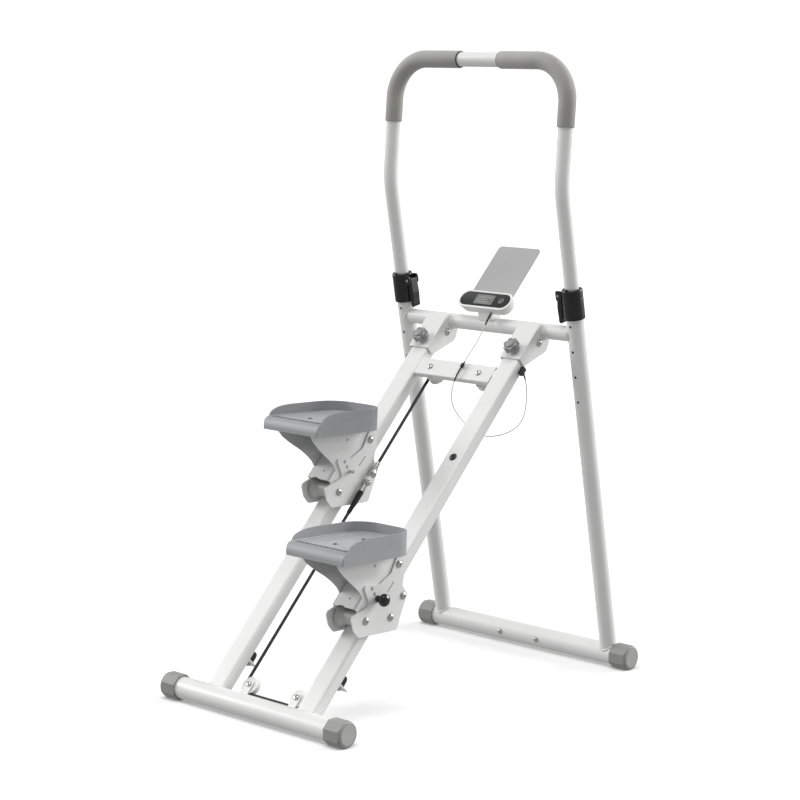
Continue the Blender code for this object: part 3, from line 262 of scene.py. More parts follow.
PAINT = finish("powder_coat_white", (0.80, 0.80, 0.795), 0.30, spread=0.025, grain=520, depth=0.00006, coat=0.25)
WELD = finish("painted_weld", (0.76, 0.76, 0.755), 0.36, spread=0.05, grain=330, depth=0.0004, coat=0.2)
TRAY_GREY = finish("moulded_grey", (0.330, 0.335, 0.348), 0.42, spread=0.06, grain=1100, depth=0.00010, cells=True)
# The heel rows of studs are painted near black: painted shade standing in for the shade on their sides.
HEEL_STUD_PAINTED_SHADE = finish("heel_studs_painted_shade", (0.105, 0.107, 0.113), 0.55, spread=0.12, grain=900, depth=0.00008)
# The finer studs over the floor are painted light grey: a painted highlight for the better-lit tray floor.
TREAD_STUD_PAINTED_HIGHLIGHT = finish("tread_studs_painted_highlight", (0.640, 0.645, 0.665), 0.50, spread=0.12, grain=900, depth=0.00008)
CAP_GREY = finish("cap_grey_moulded", (0.285, 0.285, 0.280), 0.40, spread=0.07, grain=900, depth=0.00010, cells=True)
# The caps' end discs take a lighter copy of the cap grey: a painted highlight on the lit end face.
CAP_DISC_PAINTED_HIGHLIGHT = finish("cap_disc_painted_highlight", (0.40, 0.40, 0.39), 0.38, spread=0.05, grain=900, depth=0.00008, cells=True)
FOAM = finish("foam_grey_cells", (0.375, 0.372, 0.352), 0.80, spread=0.07, grain=1250, depth=0.00035, cells=True,
              sheen=0.35)
KNOB_GREY = finish("knob_grey_moulded", (0.30, 0.30, 0.30), 0.42, spread=0.06, grain=1000, depth=0.00008, cells=True)
NYLON = finish("roller_nylon", (0.50, 0.505, 0.480), 0.36, spread=0.06, grain=420, depth=0.00008, coat=0.15)
BLACK = finish("black_moulded", (0.008, 0.008, 0.009), 0.34, spread=0.15, grain=1000, depth=0.00010, cells=True)
KNOB_BLACK = finish("black_glossy", (0.007, 0.006, 0.007), 0.16, spread=0.15, grain=600, depth=0.00003, coat=0.4)
RUBBER = finish("black_rubber_matt", (0.013, 0.013, 0.013), 0.78, spread=0.15, grain=900, depth=0.0002)
ROPE = finish("rope_braid", (0.011, 0.011, 0.011), 0.62, spread=0.25, grain=700, depth=0.0006, strands=190.0)
ZINC = finish("zinc_plate", (0.60, 0.60, 0.585), 0.27, metallic=1.0, spread=0.08, mottle=60, grain=900, depth=0.00006,
              uneven=0.09)
DARK_STEEL = finish("dark_steel", (0.16, 0.16, 0.155), 0.38, metallic=1.0, spread=0.12, mottle=60, grain=900,
                    depth=0.00006)
SHELL = finish("white_moulded", (0.83, 0.83, 0.82), 0.36, spread=0.02, grain=1100, depth=0.00005, cells=True)
REST_GREY = finish("rest_grey", (0.435, 0.435, 0.435), 0.55, spread=0.025, grain=1100, depth=0.00008, cells=True)
LENS = finish("lens_black", (0.012, 0.012, 0.014), 0.07, spread=0.10, grain=200, depth=0.000005, coat=0.6,
              uneven=0.02)
SCREEN = finish("screen_grey", (0.185, 0.190, 0.185), 0.22, spread=0.10, mottle=90, grain=1500, depth=0.00002)
SCREEN_EDGE = finish("screen_edge", (0.36, 0.365, 0.36), 0.25, spread=0.06, grain=900, depth=0.00002)
PRINT = finish("printed_light", (0.52, 0.52, 0.52), 0.40, spread=0.06, grain=900, depth=0.00002)
WIRE = finish("wire_light", (0.62, 0.62, 0.61), 0.45, spread=0.05, grain=700, depth=0.00005)


# ---------------------------------------------------------------- meshes

AXIS_TURNS = {
    "X": Matrix.Rotation(pi / 2, 4, "Y"),
    "Y": Matrix.Rotation(-pi / 2, 4, "X"),
    "Z": NO_TURN,
}


def mesh_from_bmesh(bm):
    bmesh.ops.recalc_face_normals(bm, faces=bm.faces)
    mesh = bpy.data.meshes.new("mesh")
    bm.to_mesh(mesh)
    bm.free()
    return mesh


def box_mesh(low, high, bevel=0.0, segments=3):
    bm = bmesh.new()
    bmesh.ops.create_cube(bm, size=1.0)
    bmesh.ops.scale(bm, vec=[high[i] - low[i] for i in range(3)], verts=bm.verts)
    bmesh.ops.translate(bm, vec=[(high[i] + low[i]) / 2 for i in range(3)], verts=bm.verts)
    if bevel:
        bmesh.ops.bevel(bm, geom=bm.edges, offset=bevel, segments=segments, profile=0.5, affect="EDGES")
    return mesh_from_bmesh(bm)


def turned_mesh(profile, sides=48, axis="Z", centre=(0, 0, 0)):
    """A turned solid from (radius, height) points, with its axis along X, Y or Z."""
    bm = bmesh.new()
    rings = []
    for radius, height in profile:
        if radius < 1e-6:
            rings.append([bm.verts.new((0, 0, height))])
            continue
        angles = [2 * pi * i / sides for i in range(sides)]
        rings.append([bm.verts.new((radius * cos(a), radius * sin(a), height)) for a in angles])
    pairs = list(zip(rings, rings[1:]))
    if len(rings[0]) > 1 and len(rings[-1]) > 1:
        pairs.append((rings[-1], rings[0]))
    for first, second in pairs:
        for i in range(sides):
            j = (i + 1) % sides
            if len(first) == 1:
                bm.faces.new((first[0], second[j], second[i]))
            elif len(second) == 1:
                bm.faces.new((first[i], first[j], second[0]))
            else:
                bm.faces.new((first[i], first[j], second[j], second[i]))
    bmesh.ops.transform(bm, matrix=at(centre) @ AXIS_TURNS[axis], verts=bm.verts)
    return mesh_from_bmesh(bm)


def rod_mesh(radius, low, high, axis="Z", centre=(0, 0, 0), edge=0.0, sides=48):
    """A round bar with its end edges rounded by edge."""
    if edge:
        steps = [(radius - edge * (1 - sin(a)), edge * (1 - cos(a))) for a in (0, pi / 4, pi / 2)]
        profile = [(0, low)] + [(r, low + h) for r, h in steps] + [(r, high - h) for r, h in steps[::-1]] + [(0, high)]
    else:
        profile = [(0, low), (radius, low), (radius, high), (0, high)]
    return turned_mesh(profile, sides, axis, centre)


def ring_mesh(outer, inner, low, high, axis="Z", centre=(0, 0, 0), sides=64):
    return turned_mesh([(outer, low), (outer, high), (inner, high), (inner, low)], sides, axis, centre)


def arc(centre, radius, start, end, steps):
    turns = [radians(start + (end - start) * i / steps) for i in range(steps + 1)]
    return [(centre[0] + radius * cos(a), centre[1] + radius * sin(a)) for a in turns]


def circle(centre, radius, sides=32):
    return arc(centre, radius, 0, 360 - 360 / sides, sides - 1)


def rounded_outline(corners, steps=8):
    """A closed outline from (u, v, corner radius) points."""
    points = []
    count = len(corners)
    for i, (u, v, radius) in enumerate(corners):
        here = Vector((u, v))
        before = (Vector(corners[i - 1][:2]) - here).normalized()
        after = (Vector(corners[(i + 1) % count][:2]) - here).normalized()
        if radius <= 0:
            points.append(here)
            continue
        half = before.angle(after) / 2
        middle = here + (before + after).normalized() * (radius / sin(half))
        start = here + before * (radius / tan(half)) - middle
        end = here + after * (radius / tan(half)) - middle
        turn = start.angle_signed(end)
        for k in range(steps + 1):
            points.append(middle + Matrix.Rotation(-turn * k / steps, 2) @ start)
    return [tuple(p) for p in points]


def slot_outline(low, high, radius, steps=8):
    """A long hole with round ends between two points."""
    a, b = Vector(low), Vector(high)
    turn = Vector((b - a)).angle_signed(Vector((1, 0)))
    points = []
    for centre, start in ((b, -90), (a, 90)):
        points += [tuple(centre + Vector((radius * cos(turn + radians(start + 180 * k / steps)),
                                          radius * sin(turn + radians(start + 180 * k / steps)))))
                   for k in range(steps + 1)]
    return points


def plate_mesh(outline, thickness, holes=()):
    """A flat plate in its own XY plane, centred on Z, with any inner outlines cut out."""
    curve = bpy.data.curves.new("plate", "CURVE")
    curve.dimensions = "2D"
    curve.fill_mode = "BOTH"
    curve.extrude = thickness / 2
    for loop in [outline, *holes]:
        spline = curve.splines.new("POLY")
        spline.points.add(len(loop) - 1)
        for point, (u, v) in zip(spline.points, loop):
            point.co = (u, v, 0, 1)
        spline.use_cyclic_u = True
    holder = bpy.data.objects.new("plate", curve)
    SCENE.collection.objects.link(holder)
    graph = bpy.context.evaluated_depsgraph_get()
    mesh = bpy.data.meshes.new_from_object(holder.evaluated_get(graph))
    bpy.data.objects.remove(holder, do_unlink=True)
    bpy.data.curves.remove(curve)
    bm = bmesh.new()
    bm.from_mesh(mesh)
    bmesh.ops.remove_doubles(bm, verts=bm.verts, dist=1e-6)
    bmesh.ops.dissolve_limit(bm, angle_limit=radians(0.5), verts=bm.verts, edges=bm.edges)
    bmesh.ops.recalc_face_normals(bm, faces=bm.faces)
    bm.to_mesh(mesh)
    bm.free()
    return mesh


SIDE_TURN = Matrix.Rotation(pi / 2, 4, "Z") @ Matrix.Rotation(pi / 2, 4, "X")


def side_plate(outline, low_x, high_x, holes=()):
    """A plate whose outline's axes are the second and third axes of its parent."""
    mesh = plate_mesh(outline, high_x - low_x, holes)
    mesh.transform(at(((low_x + high_x) / 2, 0, 0)) @ SIDE_TURN)
    return mesh


def moved(mesh, matrix):
    mesh.transform(matrix)
    if matrix.determinant() < 0:
        mesh.flip_normals()
    return mesh


def sweep_mesh(path, radii, sides=24, closed=False):
    """A round section carried along a path; radii is one radius or one for each point."""
    points = [Vector(p) for p in path]
    count = len(points)
    if not isinstance(radii, (list, tuple)):
        radii = [radii] * count
    tangents = []
    for k in range(count):
        before = points[k - 1] if (closed or k) else points[k]
        after = points[(k + 1) % count] if (closed or k + 1 < count) else points[k]
        tangents.append((after - before).normalized())
    bm = bmesh.new()
    normal = tangents[0].orthogonal().normalized()
    rings = []
    for k, point in enumerate(points):
        if k:
            normal = tangents[k - 1].rotation_difference(tangents[k]) @ normal
        across = tangents[k].cross(normal)
        ring = []
        for i in range(sides):
            a = 2 * pi * i / sides
            ring.append(bm.verts.new(point + (normal * cos(a) + across * sin(a)) * radii[k]))
        rings.append(ring)
    pairs = list(zip(rings, rings[1:]))
    for first, second in pairs:
        for i in range(sides):
            j = (i + 1) % sides
            bm.faces.new((first[i], first[j], second[j], second[i]))
    if closed:
        first, second = rings[-1], rings[0]
        shift = min(range(sides), key=lambda s: (first[0].co - second[s].co).length)
        for i in range(sides):
            j = (i + 1) % sides
            bm.faces.new((first[i], first[j], second[(j + shift) % sides], second[(i + shift) % sides]))
    else:
        bm.faces.new(rings[0][::-1])
        bm.faces.new(rings[-1])
    return mesh_from_bmesh(bm)


def fillet_path(corners, steps=20):
    """A 3-D path through (point, corner radius) pairs, with each corner rounded."""
    points = []
    for i, (place, radius) in enumerate(corners):
        here = Vector(place)
        if radius <= 0:
            points.append(here)
            continue
        before = (Vector(corners[i - 1][0]) - here).normalized()
        after = (Vector(corners[i + 1][0]) - here).normalized()
        half = before.angle(after) / 2
        middle = here + (before + after).normalized() * (radius / sin(half))
        start = here + before * (radius / tan(half)) - middle
        normal = before.cross(after)
        for k in range(steps + 1):
            points.append(middle + Matrix.Rotation(-(pi - 2 * half) * k / steps, 3, normal) @ start)
    return points


def rounded_ends(path, radius, edge=0.0025):
    """The path with extra points at both ends, and radii that round those ends off."""
    points = [Vector(p) for p in path]
    start = (points[1] - points[0]).normalized()
    end = (points[-1] - points[-2]).normalized()
    steps = [(edge * (1 - cos(a)), radius - edge * (1 - sin(a))) for a in (0, pi / 6, pi / 3, pi / 2)]
    head = [(points[0] + start * h, r) for h, r in steps]
    tail = [(points[-1] - end * h, r) for h, r in steps[::-1]]
    middle = [(p, radius) for p in points[1:-1]]
    return [p for p, r in head + middle + tail], [r for p, r in head + middle + tail]


def shaped(mesh, union=(), cut=(), within=(), bevel=0.0, segments=2, angle=32):
    """The mesh after unions, cuts, what it has in common with others, and a rounding of its edges."""
    holder = bpy.data.objects.new("holder", mesh)
    SCENE.collection.objects.link(holder)
    helpers = []
    for operation, tools in (("UNION", union), ("DIFFERENCE", cut), ("INTERSECT", within)):
        for tool in tools:
            helper = bpy.data.objects.new("tool", tool)
            SCENE.collection.objects.link(helper)
            helpers.append(helper)
            step = holder.modifiers.new(operation, "BOOLEAN")
            step.operation = operation
            step.object = helper
    if bevel:
        step = holder.modifiers.new("edges", "BEVEL")
        step.width = bevel
        step.segments = segments
        step.limit_method = "ANGLE"
        step.angle_limit = radians(angle)
        step.use_clamp_overlap = True
    graph = bpy.context.evaluated_depsgraph_get()
    result = bpy.data.meshes.new_from_object(holder.evaluated_get(graph))
    for obj in [*helpers, holder]:
        bpy.data.objects.remove(obj, do_unlink=True)
    return result


def merged(meshes):
    """Several meshes as one, without joining their surfaces."""
    bm = bmesh.new()
    for mesh in meshes:
        bm.from_mesh(mesh)
    mesh = bpy.data.meshes.new("merged")
    bm.to_mesh(mesh)
    bm.free()
    return mesh


def piece(name, mesh, matrix, body, material, replaces=(), sharp=34, flat=True):
    """One visible piece, placed by a matrix, that rides on a body."""
    moved(mesh, matrix)
    mesh.name = name
    mesh.materials.clear()
    mesh.materials.append(material)
    mesh.shade_smooth()
    mesh.set_sharp_from_angle(angle=radians(sharp))
    obj = bpy.data.objects.new(name, mesh)
    SCENE.collection.objects.link(obj)
    if flat:
        step = obj.modifiers.new("normals", "WEIGHTED_NORMAL")
        step.keep_sharp = True
    if body:
        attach(obj, body)
    if replaces:
        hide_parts(*replaces)
    return obj


def smoothstep(t):
    t = max(0.0, min(1.0, t))
    return t * t * (3 - 2 * t)


def smooth_route(points, spacing):
    """Points at an even spacing on a smooth curve through the route's own points."""
    places = [Vector(p) for p in points]
    padded = [places[0] * 2 - places[1], *places, places[-1] * 2 - places[-2]]
    fine = []
    for k in range(len(places) - 1):
        a, b, c, d = padded[k:k + 4]
        for i in range(12):
            t = i / 12
            fine.append(0.5 * (2 * b + (c - a) * t + (2 * a - 5 * b + 4 * c - d) * t * t
                               + (3 * b - a - 3 * c + d) * t ** 3))
    fine.append(places[-1])
    total = sum((q - p).length for p, q in zip(fine, fine[1:]))
    count = max(2, round(total / spacing))
    step = total / count
    result, walked, target = [fine[0]], 0.0, step
    for p, q in zip(fine, fine[1:]):
        length = (q - p).length
        while walked + length >= target - 1e-9 and len(result) < count:
            result.append(p.lerp(q, (target - walked) / length))
            target += step
        walked += length
    result.append(fine[-1])
    return result


# ---------------------------------------------------------------- camera

CAMERA_PLACE = (3.278, -3.5733, 1.3675)
CAMERA_TURN, CAMERA_PITCH, CAMERA_ROLL = radians(42.569), radians(8.634), radians(0.6705)
CAMERA_LENS, CAMERA_SENSOR = 101.11, 36


def make_camera():
    turn, pitch, roll = CAMERA_TURN, CAMERA_PITCH, CAMERA_ROLL
    forward = Vector((-sin(turn) * cos(pitch), cos(turn) * cos(pitch), -sin(pitch)))
    right = Vector((cos(turn), sin(turn), 0))
    up = right.cross(forward)
    rolled_right = right * cos(roll) + up * sin(roll)
    rolled_up = up * cos(roll) - right * sin(roll)
    data = bpy.data.cameras.new("camera")
    data.lens = CAMERA_LENS
    data.sensor_width = CAMERA_SENSOR
    data.clip_end = 200
    camera = bpy.data.objects.new("camera", data)
    SCENE.collection.objects.link(camera)
    axes = Matrix((rolled_right, rolled_up, -forward)).transposed().to_4x4()
    camera.matrix_world = at(CAMERA_PLACE) @ axes
    SCENE.camera = camera


make_camera()


# ---------------------------------------------------------------- wires

def wires():
    """The console's wire, the in-line plug, the sensor's wire and their black sleeves."""
    route = smooth_route(CONSOLE_WIRE, 0.006)
    upper = piece("console_wire_run", sweep_mesh(route, WIRE_RADIUS, 16), NO_TURN, None, WIRE,
                  flat=False)
    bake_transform(upper)
    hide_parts("console_wire")
    relief = route[:6]
    radii = [0.0027, 0.0026, 0.0024, 0.0022, 0.0020, 0.0017]
    sleeve = piece("console_wire_relief", sweep_mesh(relief, radii, 20), NO_TURN, "upright_frame",
                   BLACK, flat=False)

    start, end = Vector(CONSOLE_WIRE[-1]), Vector(SENSOR_WIRE[0])
    along = (end - start).normalized()
    length = (end - start).length
    turn = at(start) @ Vector((0, 0, 1)).rotation_difference(along).to_matrix().to_4x4()
    profile = [(0, -0.001), (0.0015, -0.001), (0.0022, 0.0055), (0.0038, 0.0062), (0.0043, 0.0072),
               (0.0043, length * 0.48), (0.0039, length * 0.49), (0.0039, length * 0.51), (0.0043, length * 0.52),
               (0.0043, length - 0.0072), (0.0038, length - 0.0062), (0.0022, length - 0.0055),
               (0.0016, length + 0.001), (0, length + 0.001)]
    plug = piece("in_line_plug", turned_mesh(profile, 32), turn, "rail_frame", BLACK,
                 ["wire_connector"])

    route = smooth_route(SENSOR_WIRE, 0.008)
    lower = piece("sensor_wire_run", sweep_mesh(route, WIRE_RADIUS, 16), NO_TURN, "rail_frame", WIRE,
                  ["sensor_wire"], flat=False)
    first = piece("sensor_wire_sleeve_a", sweep_mesh(route[:5], [0.0021, 0.0020, 0.0019, 0.0018, 0.0015], 20),
                  NO_TURN, "rail_frame", BLACK, flat=False)
    last = piece("sensor_wire_sleeve_b", sweep_mesh(route[-3:], [0.0014, 0.0018, 0.0021], 20),
                 NO_TURN, "rail_frame", BLACK, flat=False)


wires()


# ---------------------------------------------------------------- bolts

def hex_outline(across, turn=0.0):
    reach = across / 2 / cos(pi / 6)
    return [(reach * cos(turn + pi * k / 3), reach * sin(turn + pi * k / 3)) for k in range(6)]


def button_head(radius=0.0068, height=0.0042, socket=0.0040):
    """A domed socket head standing on Z = 0, with its washer under it."""
    dome = [(0, 0.0010), (radius, 0.0010), (radius, 0.0018)]
    dome += [(radius * cos(a), 0.0018 + (height - 0.0018) * sin(a)) for a in (0.3, 0.6, 0.9, 1.2)]
    dome += [(0, height)]
    bore = plate_mesh(hex_outline(socket), 0.004)
    bore.transform(at((0, 0, height + 0.0002)))
    head = shaped(turned_mesh(dome, 40), cut=[bore])
    washer = turned_mesh([(0.0038, 0), (radius + 0.0016, 0), (radius + 0.0019, 0.0003), (radius + 0.0019, 0.0007),
                          (radius + 0.0016, 0.0010), (0.0038, 0.0010)], 40)
    return merged([head, washer])


def nut(across=0.0110, height=0.0050, stud=0.0018):
    """A hexagon nut standing on Z = 0 with its washer and the end of its bolt."""
    body = plate_mesh(hex_outline(across), height)
    body.transform(at((0, 0, height / 2 + 0.0010)))
    reach = across / 2 / cos(pi / 6)
    chamfer = turned_mesh([(0, 0), (reach + 0.001, 0), (reach + 0.0002, height * 0.8),
                           (across / 2 * 0.97, height + 0.0011), (0, height + 0.0011)], 40)
    body = shaped(body, within=[chamfer])
    tip = rod_mesh(0.0036, 0.0010, height + 0.0010 + stud, edge=0.0006, sides=24)
    washer = ring_mesh(across / 2 + 0.0022, 0.0038, 0, 0.0010, sides=40)
    return merged([body, tip, washer])


def facing(sign, place):
    """A matrix that stands a Z-up head on a side face looking along +X or -X."""
    return at(place) @ Matrix.Rotation(sign * pi / 2, 4, "Y")


def through_bolt(name, matrix, half, body, replaces=()):
    """A bolt along X: a domed head on its +X end, a nut on the other."""
    parts = [moved(button_head(), facing(1, (half, 0, 0))), moved(nut(), facing(-1, (-half, 0, 0))),
             rod_mesh(BOLT_RADIUS, -half - 0.001, half + 0.001, "X", sides=24)]
    return piece(name, merged(parts), matrix, body, ZINC, replaces)


# ---------------------------------------------------------------- foot bars and legs

def to_rail(y, z):
    dy, dz = y - HINGE[0], z - HINGE[1]
    return dy * cos(RAIL_ANGLE) + dz * sin(RAIL_ANGLE), dz * cos(RAIL_ANGLE) - dy * sin(RAIL_ANGLE)


REAR_BAR = to_rail(REAR_Y, BAR_Z)
CROSSBAR_DN = to_rail(*CROSSBAR)


def bead_radii(count, radius):
    """A weld bead's radius at each point, with the ripple of its laps."""
    return [radius * (1 + 0.13 * sin(k * 2.1) + 0.06 * sin(k * 0.7)) for k in range(count)]


def octagon_cap(name, body, end_x, sign, bar_y):
    across = CAP_ACROSS / 2
    corner = across / cos(pi / 8)
    outline = [(corner * cos(pi / 8 + k * pi / 4), corner * sin(pi / 8 + k * pi / 4)) for k in range(8)]
    prism = plate_mesh(outline, CAP_LENGTH)
    prism.transform(at((0, 0, CAP_LENGTH / 2)))
    shape = turned_mesh([
        (0, -0.001), (corner + 0.003, -0.001), (corner + 0.003, CAP_LENGTH - 0.0070),
        (corner - 0.0005, CAP_LENGTH - 0.0055),
        (across - 0.0022, CAP_LENGTH - 0.0012), (across - 0.0032, CAP_LENGTH - 0.0009), (0, CAP_LENGTH - 0.0009),
    ], 64)
    bore = rod_mesh(BAR_RADIUS + 0.0006, -0.01, CAP_LENGTH - 0.004, sides=64)
    mouth = turned_mesh([(0, -0.01), (BAR_RADIUS + 0.0022, -0.01), (BAR_RADIUS + 0.0022, 0.0006),
                         (BAR_RADIUS + 0.0006, 0.0022), (0, 0.0022)], 64)
    cup = shaped(shaped(prism, within=[shape]), cut=[bore, mouth], bevel=0.0009, segments=2, angle=30)
    disc = turned_mesh([(0, CAP_LENGTH - 0.0030), (0.0212, CAP_LENGTH - 0.0030), (0.0212, CAP_LENGTH - 0.0006),
                        (0.0206, CAP_LENGTH), (0.0150, CAP_LENGTH - 0.0001), (0, CAP_LENGTH - 0.0001)], 64)
    turn = AXIS_TURNS["X"] if sign > 0 else Matrix.Rotation(-pi / 2, 4, "Y")
    matrix = at((end_x - sign * CAP_LENGTH, bar_y, BAR_Z)) @ turn
    piece(name + "_shell", cup, matrix, body, CAP_GREY, [name])
    # The end disc's lighter grey is a painted highlight.
    piece(name + "_disc", disc, matrix, body, CAP_DISC_PAINTED_HIGHLIGHT)


def foot_bars():
    half = FRONT_BAR_LENGTH / 2 - 0.0035
    tube = rod_mesh(BAR_RADIUS, -half, half, "X", edge=0.001, sides=96)
    drilled = [rod_mesh(0.0034, -0.04, 0.0, "Y", (x, 0, 0.0), sides=24) for x in FRONT_SCREWS_X]
    piece("front_base_bar_tube", shaped(tube, cut=drilled), at((0, FRONT_Y, BAR_Z)),
          "upright_frame", PAINT, ["front_base_bar"])
    for side, sign in SIDES:
        octagon_cap(f"front_cap_{side}", "upright_frame", sign * FRONT_BAR_LENGTH / 2, sign, FRONT_Y)
        octagon_cap(f"rear_cap_{side}", "rail_frame", sign * REAR_BAR_LENGTH / 2, sign, REAR_Y)
    bolts = []
    for x in FRONT_SCREWS_X:
        bolts.append(moved(button_head(0.0050, 0.0036, 0.0030),
                           at((x, FRONT_Y - BAR_RADIUS + 0.0004, BAR_Z)) @ Matrix.Rotation(pi / 2, 4, "X")))
    piece("front_base_bar_screws", merged(bolts), NO_TURN, "upright_frame", ZINC)

    half = REAR_BAR_LENGTH / 2 - 0.0035
    tube = rod_mesh(BAR_RADIUS, -half, half, "X", (0, *REAR_BAR), edge=0.001, sides=96)
    tabs = []
    for side, sign in SIDES:
        x = sign * PULLEY_X
        start = REAR_BAR[0] + 0.012
        outline = [(x - PULLEY_TAB_HALF, start), *arc((x, LOWER_PULLEY_D), PULLEY_TAB_HALF, 180, 0, 24),
                   (x + PULLEY_TAB_HALF, start)]
        tab = plate_mesh(outline[::-1], BRACKET_SHEET)
        tab.transform(at((0, 0, PULLEY_TAB_N + BRACKET_SHEET / 2)))
        tabs.append(shaped(tab, bevel=0.0006))
    piece("rear_foot_bar_tube", tube, RAIL, "rail_frame", PAINT, ["rear_foot_bar"])
    piece("pulley_tabs", merged(tabs), RAIL, "rail_frame", PAINT)
    beads = []
    for side, sign in SIDES:
        x = sign * PULLEY_X
        d = REAR_BAR[0] + sqrt(BAR_RADIUS ** 2 - (PULLEY_TAB_N + 0.0015 - REAR_BAR[1]) ** 2)
        for n in (PULLEY_TAB_N, PULLEY_TAB_N + BRACKET_SHEET):
            line = [(x + PULLEY_TAB_HALF * (k / 7 - 1), d + 0.0002, n) for k in range(15)]
            beads.append(sweep_mesh(line, bead_radii(15, 0.0016), 12))
    piece("tab_welds", merged(beads), RAIL, "rail_frame", WELD)


def legs():
    for side in LEG:
        tube = ring_mesh(LEG_RADIUS, LEG_RADIUS - 0.0017, 0.012, LEG_TOP, sides=72)
        saddle = rod_mesh(BAR_RADIUS - 0.0006, -0.05, 0.05, "X", sides=64)
        holes = [rod_mesh(0.0032, -0.03, -0.005, "Y", (0, 0, s), sides=24) for s in LEG_HOLES]
        mesh = shaped(tube, cut=[saddle, *holes])
        piece(f"leg_{side}_tube", mesh, LEG[side], "upright_frame", PAINT, [f"leg_{side}"])
        ring = []
        for k in range(72):
            a = 2 * pi * k / 72
            r = LEG_RADIUS + 0.0004
            ring.append((r * cos(a), r * sin(a), sqrt((BAR_RADIUS + 0.0004) ** 2 - (r * sin(a)) ** 2)))
        piece(f"leg_{side}_weld", sweep_mesh(ring, bead_radii(72, 0.0022), 12, closed=True), LEG[side],
              "upright_frame", WELD, flat=False)


def collars():
    for side, sign in SIDES:
        inward = -sign
        outer, top, low = COLLAR_RADIUS, COLLAR_TOP, COLLAR_BOTTOM
        profile = [
            (LEG_RADIUS + TOUCH, low), (outer - 0.0016, low), (outer - 0.0004, low + 0.0006), (outer, low + 0.0018),
            (outer, top - 0.0210), (outer - 0.0006, top - 0.0200), (outer - 0.0006, top - 0.0180), (outer,
                                                                                                    top - 0.0170),
            (outer, top - 0.0040), (outer - 0.0008, top - 0.0016), (outer - 0.0028, top), (HANDLE_RADIUS + 0.0004, top),
            (HANDLE_RADIUS + 0.0004, LEG_TOP + 0.0003), (LEG_RADIUS + TOUCH, LEG_TOP + 0.0003),
        ]
        sleeve = turned_mesh(profile, 96)
        x_low, x_high = sorted((inward * 0.0185, inward * 0.0350))
        parts = []
        for y in (-0.0165, 0.0115):
            ear = rounded_outline([(x_low, LEVER_PIVOT[1] - 0.011, 0.0035), (x_high, LEVER_PIVOT[1] - 0.011, 0.006),
                                   (x_high, LEVER_PIVOT[1] + 0.011, 0.006), (x_low, LEVER_PIVOT[1] + 0.011, 0.0035)], 8)
            plate = plate_mesh(ear, 0.005)
            plate.transform(at((0, y + 0.0025, 0)) @ Matrix.Rotation(pi / 2, 4, "X"))
            parts.append(shaped(plate, bevel=0.0008))
        split_low, split_high = sorted((inward * 0.0150, inward * 0.0345))
        split = box_mesh((split_low, -0.0008, low - 0.01), (split_high, 0.0008, top + 0.01))
        sleeve = shaped(sleeve, cut=[split])
        nub = rod_mesh(0.0032, top - 0.004, top + 0.0030, centre=(0, -0.0200, 0), edge=0.0010, sides=24)
        piece(f"collar_{side}_sleeve", merged([sleeve, nub, *parts]), LEG[side], "upright_frame", BLACK,
              [f"collar_{side}"])
        pin = [rod_mesh(0.0030, 0.0163, 0.0176, "Y", (inward * LEVER_PIVOT[0], 0, LEVER_PIVOT[1]), 0.0005, 24),
               rod_mesh(0.0030, -0.0176, -0.0163, "Y", (inward * LEVER_PIVOT[0], 0, LEVER_PIVOT[1]), 0.0005, 24)]
        piece(f"lever_pin_{side}", merged(pin), LEG[side], "upright_frame", ZINC)
        outline = rounded_outline([
            (-0.0035 * inward, 0.0045, 0.0030), (0.0066 * inward, 0.0045, 0.0040),
            (0.0094 * inward, -0.030, 0.020), (0.0080 * inward, -0.064, 0.0045),
            (-0.0010 * inward, -0.064, 0.0040), (-0.0032 * inward, -0.030, 0.015),
        ], 8)
        if inward < 0:
            outline = outline[::-1]
        blade = plate_mesh(outline, 0.0205)
        blade.transform(Matrix.Rotation(pi / 2, 4, "X"))
        grooves = [box_mesh((inward * 0.0150 - 0.0072, -0.02, z), (inward * 0.0150 + 0.0072, 0.02, z + 0.0012))
                   for z in (-0.046, -0.050, -0.054)]
        blade = shaped(blade, cut=grooves, bevel=0.0011, segments=3)
        hinge = LEG[side] @ at((inward * LEVER_PIVOT[0], 0, LEVER_PIVOT[1]))
        piece(f"clamp_lever_{side}_blade", blade, hinge, f"clamp_lever_body_{side}", BLACK,
              [f"clamp_lever_{side}"])


def leg_point(x, s):
    return Vector((x, FRONT_Y - s * sin(LEG_LEAN), BAR_Z + s * cos(LEG_LEAN)))


def handlebar():
    low, bend = leg_point(LEG_X, HANDLE_BOTTOM), leg_point(LEG_X, HANDLE_BEND)
    top = Vector((LEG_X, *HANDLE_TOP))
    half = [(low, 0), (bend, 0.25), (top, 0.090)]
    mirrored = [(Vector((-p.x, p.y, p.z)), r) for p, r in half]
    path = fillet_path(mirrored + half[::-1], 28)
    piece("handlebar_tube", sweep_mesh(path, HANDLE_RADIUS, 64), NO_TURN, "handlebar_unit", PAINT,
          ["handlebar"], flat=False)
    grip_low = bend.lerp(top, (GRIP_END_Z - bend.z) / (top.z - bend.z))
    for side, sign in SIDES:
        corners = [(Vector((sign * grip_low.x, grip_low.y, grip_low.z)), 0),
                   (Vector((sign * top.x, top.y, top.z)), 0.090),
                   (Vector((sign * GRIP_END_X, top.y, top.z)), 0)]
        points, radii = rounded_ends(fillet_path(corners, 32), GRIP_RADIUS, 0.0022)
        piece(f"grip_{side}_foam", sweep_mesh(points, radii, 64), NO_TURN, "handlebar_unit", FOAM,
              [f"grip_{side}"], sharp=50, flat=False)
        ring = ring_mesh(GRIP_RADIUS - 0.0014, HANDLE_RADIUS, 0, 0.0012, "X", sides=64)
        place = at((sign * (GRIP_END_X - 0.0006) - 0.0006, top.y, top.z))
        piece(f"grip_{side}_end", ring, place, "handlebar_unit", RUBBER)


